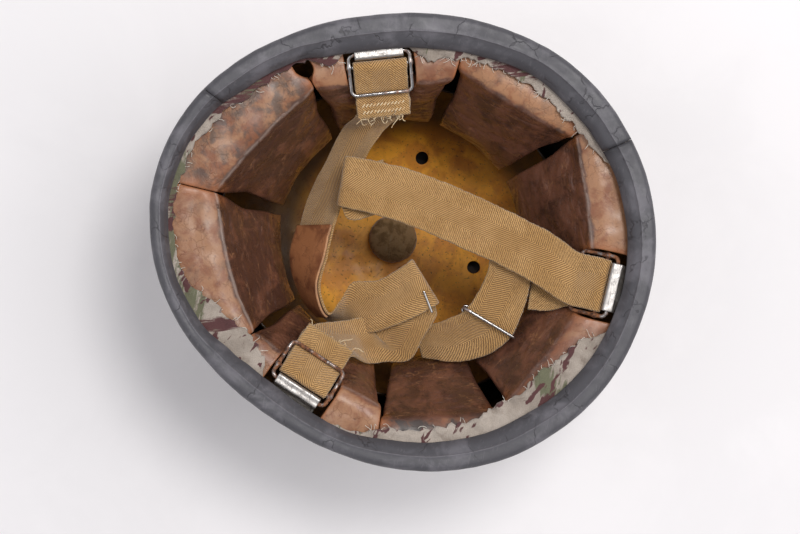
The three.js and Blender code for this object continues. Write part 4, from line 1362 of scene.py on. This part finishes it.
# Places are in the camera's axes from the middle of the rim, in metres, and powers in watts.
LAMPS = table("name from size power level color", (
    ("window", (1.2, 0.3, 1.5), 1.6, 15, "key_light", (1, 0.985, 0.97)),
    ("overhead", (0.3, 0.35, 1.3), 0.4, 9, "key_light", (1, 0.98, 0.95)),
    ("fill", (-1.3, -0.3, 1.5), 2.0, 8, "fill_light", (0.97, 0.98, 1)),
))


# ---------------------------------------------------------------------------------- the add-on

class HELMET_OT_cover(bpy.types.Operator):
    """Make the camouflage cloth cover"""
    bl_idname = "helmet.cover"
    bl_label = "Cover"

    def execute(self, context):
        colors, sizes = context.scene.helmet_colours, context.scene.helmet_sizes
        bm = mapped_grid(*GRIDS["cover"], cover_point)
        piece = finished("camouflage_cover", bm, "cloth_cover", cloth_material(colors))
        make_solid(piece, thickness=sizes.cloth_wall, offset=-1)
        return {"FINISHED"}


class HELMET_OT_rubber(bpy.types.Operator):
    """Make the two lengths of the rubber rim"""
    bl_idname = "helmet.rubber"
    bl_label = "Rubber Rim"

    def execute(self, context):
        material = rubber_material(context.scene.helmet_colours)
        for part in RUBBER_LENGTHS:
            bm = rubber_bmesh(part["start"], part["stop"], part["proud"])
            finished(part["name"], bm, part["node"], material)
        return {"FINISHED"}


class HELMET_OT_crown(bpy.types.Operator):
    """Make the ochre dome with its vents, the felt pad and the finish of the steel"""
    bl_idname = "helmet.crown"
    bl_label = "Crown"

    def execute(self, context):
        colors, sizes = context.scene.helmet_colours, context.scene.helmet_sizes
        top = dome_climb()
        bm = mapped_grid(*GRIDS["dome"], lambda u, v: dome_point(u, v * top))
        dome = finished("ochre_dome", bm, "crown_dome", dome_material(colors))
        make_solid(dome, thickness=DOME_WALL * MM, offset=-1)
        cutter = vent_cutter(sizes.vent_radius / MM)
        cut = dome.modifiers.new("vents", "BOOLEAN")
        cut.object, cut.operation, cut.solver = cutter, "DIFFERENCE", "EXACT"
        apply_modifiers(dome)
        bpy.data.objects.remove(cutter)
        bm = mapped_grid(*GRIDS["felt"], crown_pad_point)
        pad = finished("felt_pad", bm, "crown_pad", felt_material(colors))
        steel = steel_material()
        for name in ("steel_shell", "crown_spacer"):
            slots = bpy.data.objects[name].data.materials
            slots.clear()
            slots.append(steel)
        return {"FINISHED"}


class HELMET_OT_liner(bpy.types.Operator):
    """Make the ten padded leather fingers"""
    bl_idname = "helmet.liner"
    bl_label = "Leather Liner"

    def execute(self, context):
        colors = context.scene.helmet_colours
        for pad in PADS:
            side = pad["side"]
            piece = finished("leather_pad_" + side, pad_bmesh(pad), "liner_pad_" + side,
                             leather_material(pad, colors))
        return {"FINISHED"}


class HELMET_OT_clips(bpy.types.Operator):
    """Make the aluminium clips and their wire rings"""
    bl_idname = "helmet.clips"
    bl_label = "Clips and Rings"

    def execute(self, context):
        sleeve = aluminium_material()
        for side, clip in CLIP_FRAMES.items():
            finished("clip_" + side, clip_bmesh(clip), "strap_clip_" + side, sleeve)
            finished("ring_" + side, ring_bmesh(clip), "strap_ring_" + side,
                     wire_material("ring_wire_" + side, CLIP_RUST[side]))
        return {"FINISHED"}


class HELMET_OT_harness(bpy.types.Operator):
    """Make the webbing straps, the lining and the slide"""
    bl_idname = "helmet.harness"
    bl_label = "Harness"

    def execute(self, context):
        colors, sizes = context.scene.helmet_colours, context.scene.helmet_sizes
        web = webbing_material(colors, sizes.twill_pitch / MM, sizes.chevron / MM)
        rows = chin_rows()
        finished("chin_webbing", band_bmesh(Band(rows), WEB_WALL, 71), "chin_strap", web)
        lining = Band(rows, *(rows.index(CHIN_UPPER[i]) for i in (LINED_FROM, LINED_TO)))
        bm = band_bmesh(lining, LEATHER_WALL, 81, lift=WEB_WALL / 2 + 2 * GAP + LEATHER_WALL / 2)
        finished("chin_leather", bm, "chin_lining", chin_leather_material(colors))
        finished("rear_webbing", band_bmesh(Band(rear_rows()), WEB_WALL, 91), "rear_strap", web)
        finished("branch_webbing", band_bmesh(Band(BRANCH), WEB_WALL, 101), "branch_strap", web)
        wire = wire_material("slide_wire", 0.25)
        finished("webbing_slide", slide_bmesh(), "strap_slide", wire)
        yarn = thread_material("webbing_yarn", colors.webbing_faded, "dcc8a4")
        cotton = thread_material("cloth_yarn", colors.cloth_faded, "dcd5ca")
        dice = random.Random(12)
        finished("hem_threads", hem_threads(dice), None, cotton)
        finished("strap_threads", strap_threads(dice), None, yarn)
        finished("strap_stitches", stitches(), None, yarn)
        ends = [Vector(FOLD_WIRE[key]) for key in ("start", "stop")]
        bm = wire_bmesh(polyline(ends), FOLD_WIRE["radius"], rows=30, closed=False)
        finished("bent_wire", bm, "fold_wire", wire)
        return {"FINISHED"}


FLOOR = {"half_width": 3000, "drop": 0.5}
ROOM_COLOUR = (0.93, 0.92, 0.95, 1)
CAMERA = {"distance": 900, "right": 5.1, "up": 15.6, "turn": -13.5, "lean": (0.045, -0.0106)}


class HELMET_OT_stage(bpy.types.Operator):
    """Make the floor, the lights and the camera"""
    bl_idname = "helmet.stage"
    bl_label = "Stage"

    def execute(self, context):
        scene = context.scene
        colors, sizes = scene.helmet_colours, scene.helmet_sizes
        bm = bmesh.new()
        bmesh.ops.create_grid(bm, x_segments=1, y_segments=1, size=FLOOR["half_width"])
        floor = new_object("floor", bm)
        floor.location.z = -FLOOR["drop"] * MM
        floor.data.materials.append(floor_material(colors.floor))

        up = Vector((*CAMERA["lean"], 1)).normalized()
        turn = math.radians(CAMERA["turn"])
        back = Vector((math.cos(turn), math.sin(turn), 0))
        back = (back - up * back.dot(up)).normalized()
        left = up.cross(back)
        axes = Matrix((back, left, up))  # each row is where one of the helmet's axes points in the camera
        rim = Vector((EGG, 0, HEIGHT)) * MM
        eye = rim - axes @ (Vector((CAMERA["right"], CAMERA["up"], -CAMERA["distance"])) * MM)
        data = bpy.data.cameras.new("camera")
        data.lens = sizes.lens
        camera = bpy.data.objects.new("camera", data)
        camera.matrix_world = Matrix.Translation(eye) @ axes.to_4x4()
        scene.collection.objects.link(camera)
        scene.camera = camera

        for lamp in LAMPS:
            light = bpy.data.lights.new(lamp["name"], "AREA")
            light.shape, light.size, light.color = "DISK", lamp["size"], lamp["color"]
            light.energy = lamp["power"] * getattr(sizes, lamp["level"])
            holder = bpy.data.objects.new(lamp["name"], light)
            reach = axes @ Vector(lamp["from"])
            aim = reach.to_track_quat("Z", "Y").to_matrix().to_4x4()
            holder.matrix_world = Matrix.Translation(rim + reach) @ aim
            scene.collection.objects.link(holder)
        world = bpy.data.worlds.new("studio")
        world.use_nodes = True
        sky = world.node_tree.nodes["Background"].inputs
        sky["Color"].default_value = ROOM_COLOUR
        sky["Strength"].default_value = sizes.room_light
        scene.world = world
        scene.view_settings.view_transform = "Standard"
        return {"FINISHED"}


STEPS = (HELMET_OT_stage, HELMET_OT_cover, HELMET_OT_rubber, HELMET_OT_crown, HELMET_OT_liner,
         HELMET_OT_clips, HELMET_OT_harness)


class HELMET_PT_panel(bpy.types.Panel):
    """Lists the steps that dress the helmet, its sizes and its colours"""
    bl_idname = "HELMET_PT_panel"
    bl_label = "Paratrooper Helmet"
    bl_space_type = "VIEW_3D"
    bl_region_type = "UI"
    bl_category = "Helmet"

    def draw(self, context):
        column = self.layout.column(align=True)
        for step in STEPS:
            column.operator(step.bl_idname)
        for group in (context.scene.helmet_sizes, context.scene.helmet_colours):
            column.separator()
            for key in group.__annotations__:
                column.prop(group, key)


CLASSES = (HelmetColours, HelmetSizes, *STEPS, HELMET_PT_panel)


def register():
    for made in CLASSES:
        bpy.utils.register_class(made)
    bpy.types.Scene.helmet_colours = PointerProperty(type=HelmetColours)
    bpy.types.Scene.helmet_sizes = PointerProperty(type=HelmetSizes)


def unregister():
    del bpy.types.Scene.helmet_colours, bpy.types.Scene.helmet_sizes
    for made in reversed(CLASSES):
        bpy.utils.unregister_class(made)


def main():
    register()
    bpy.ops.helmet.stage()
    bpy.ops.helmet.cover()
    bpy.ops.helmet.rubber()
    bpy.ops.helmet.crown()
    bpy.ops.helmet.liner()
    bpy.ops.helmet.clips()
    bpy.ops.helmet.harness()


if __name__ == "__main__":
    main()
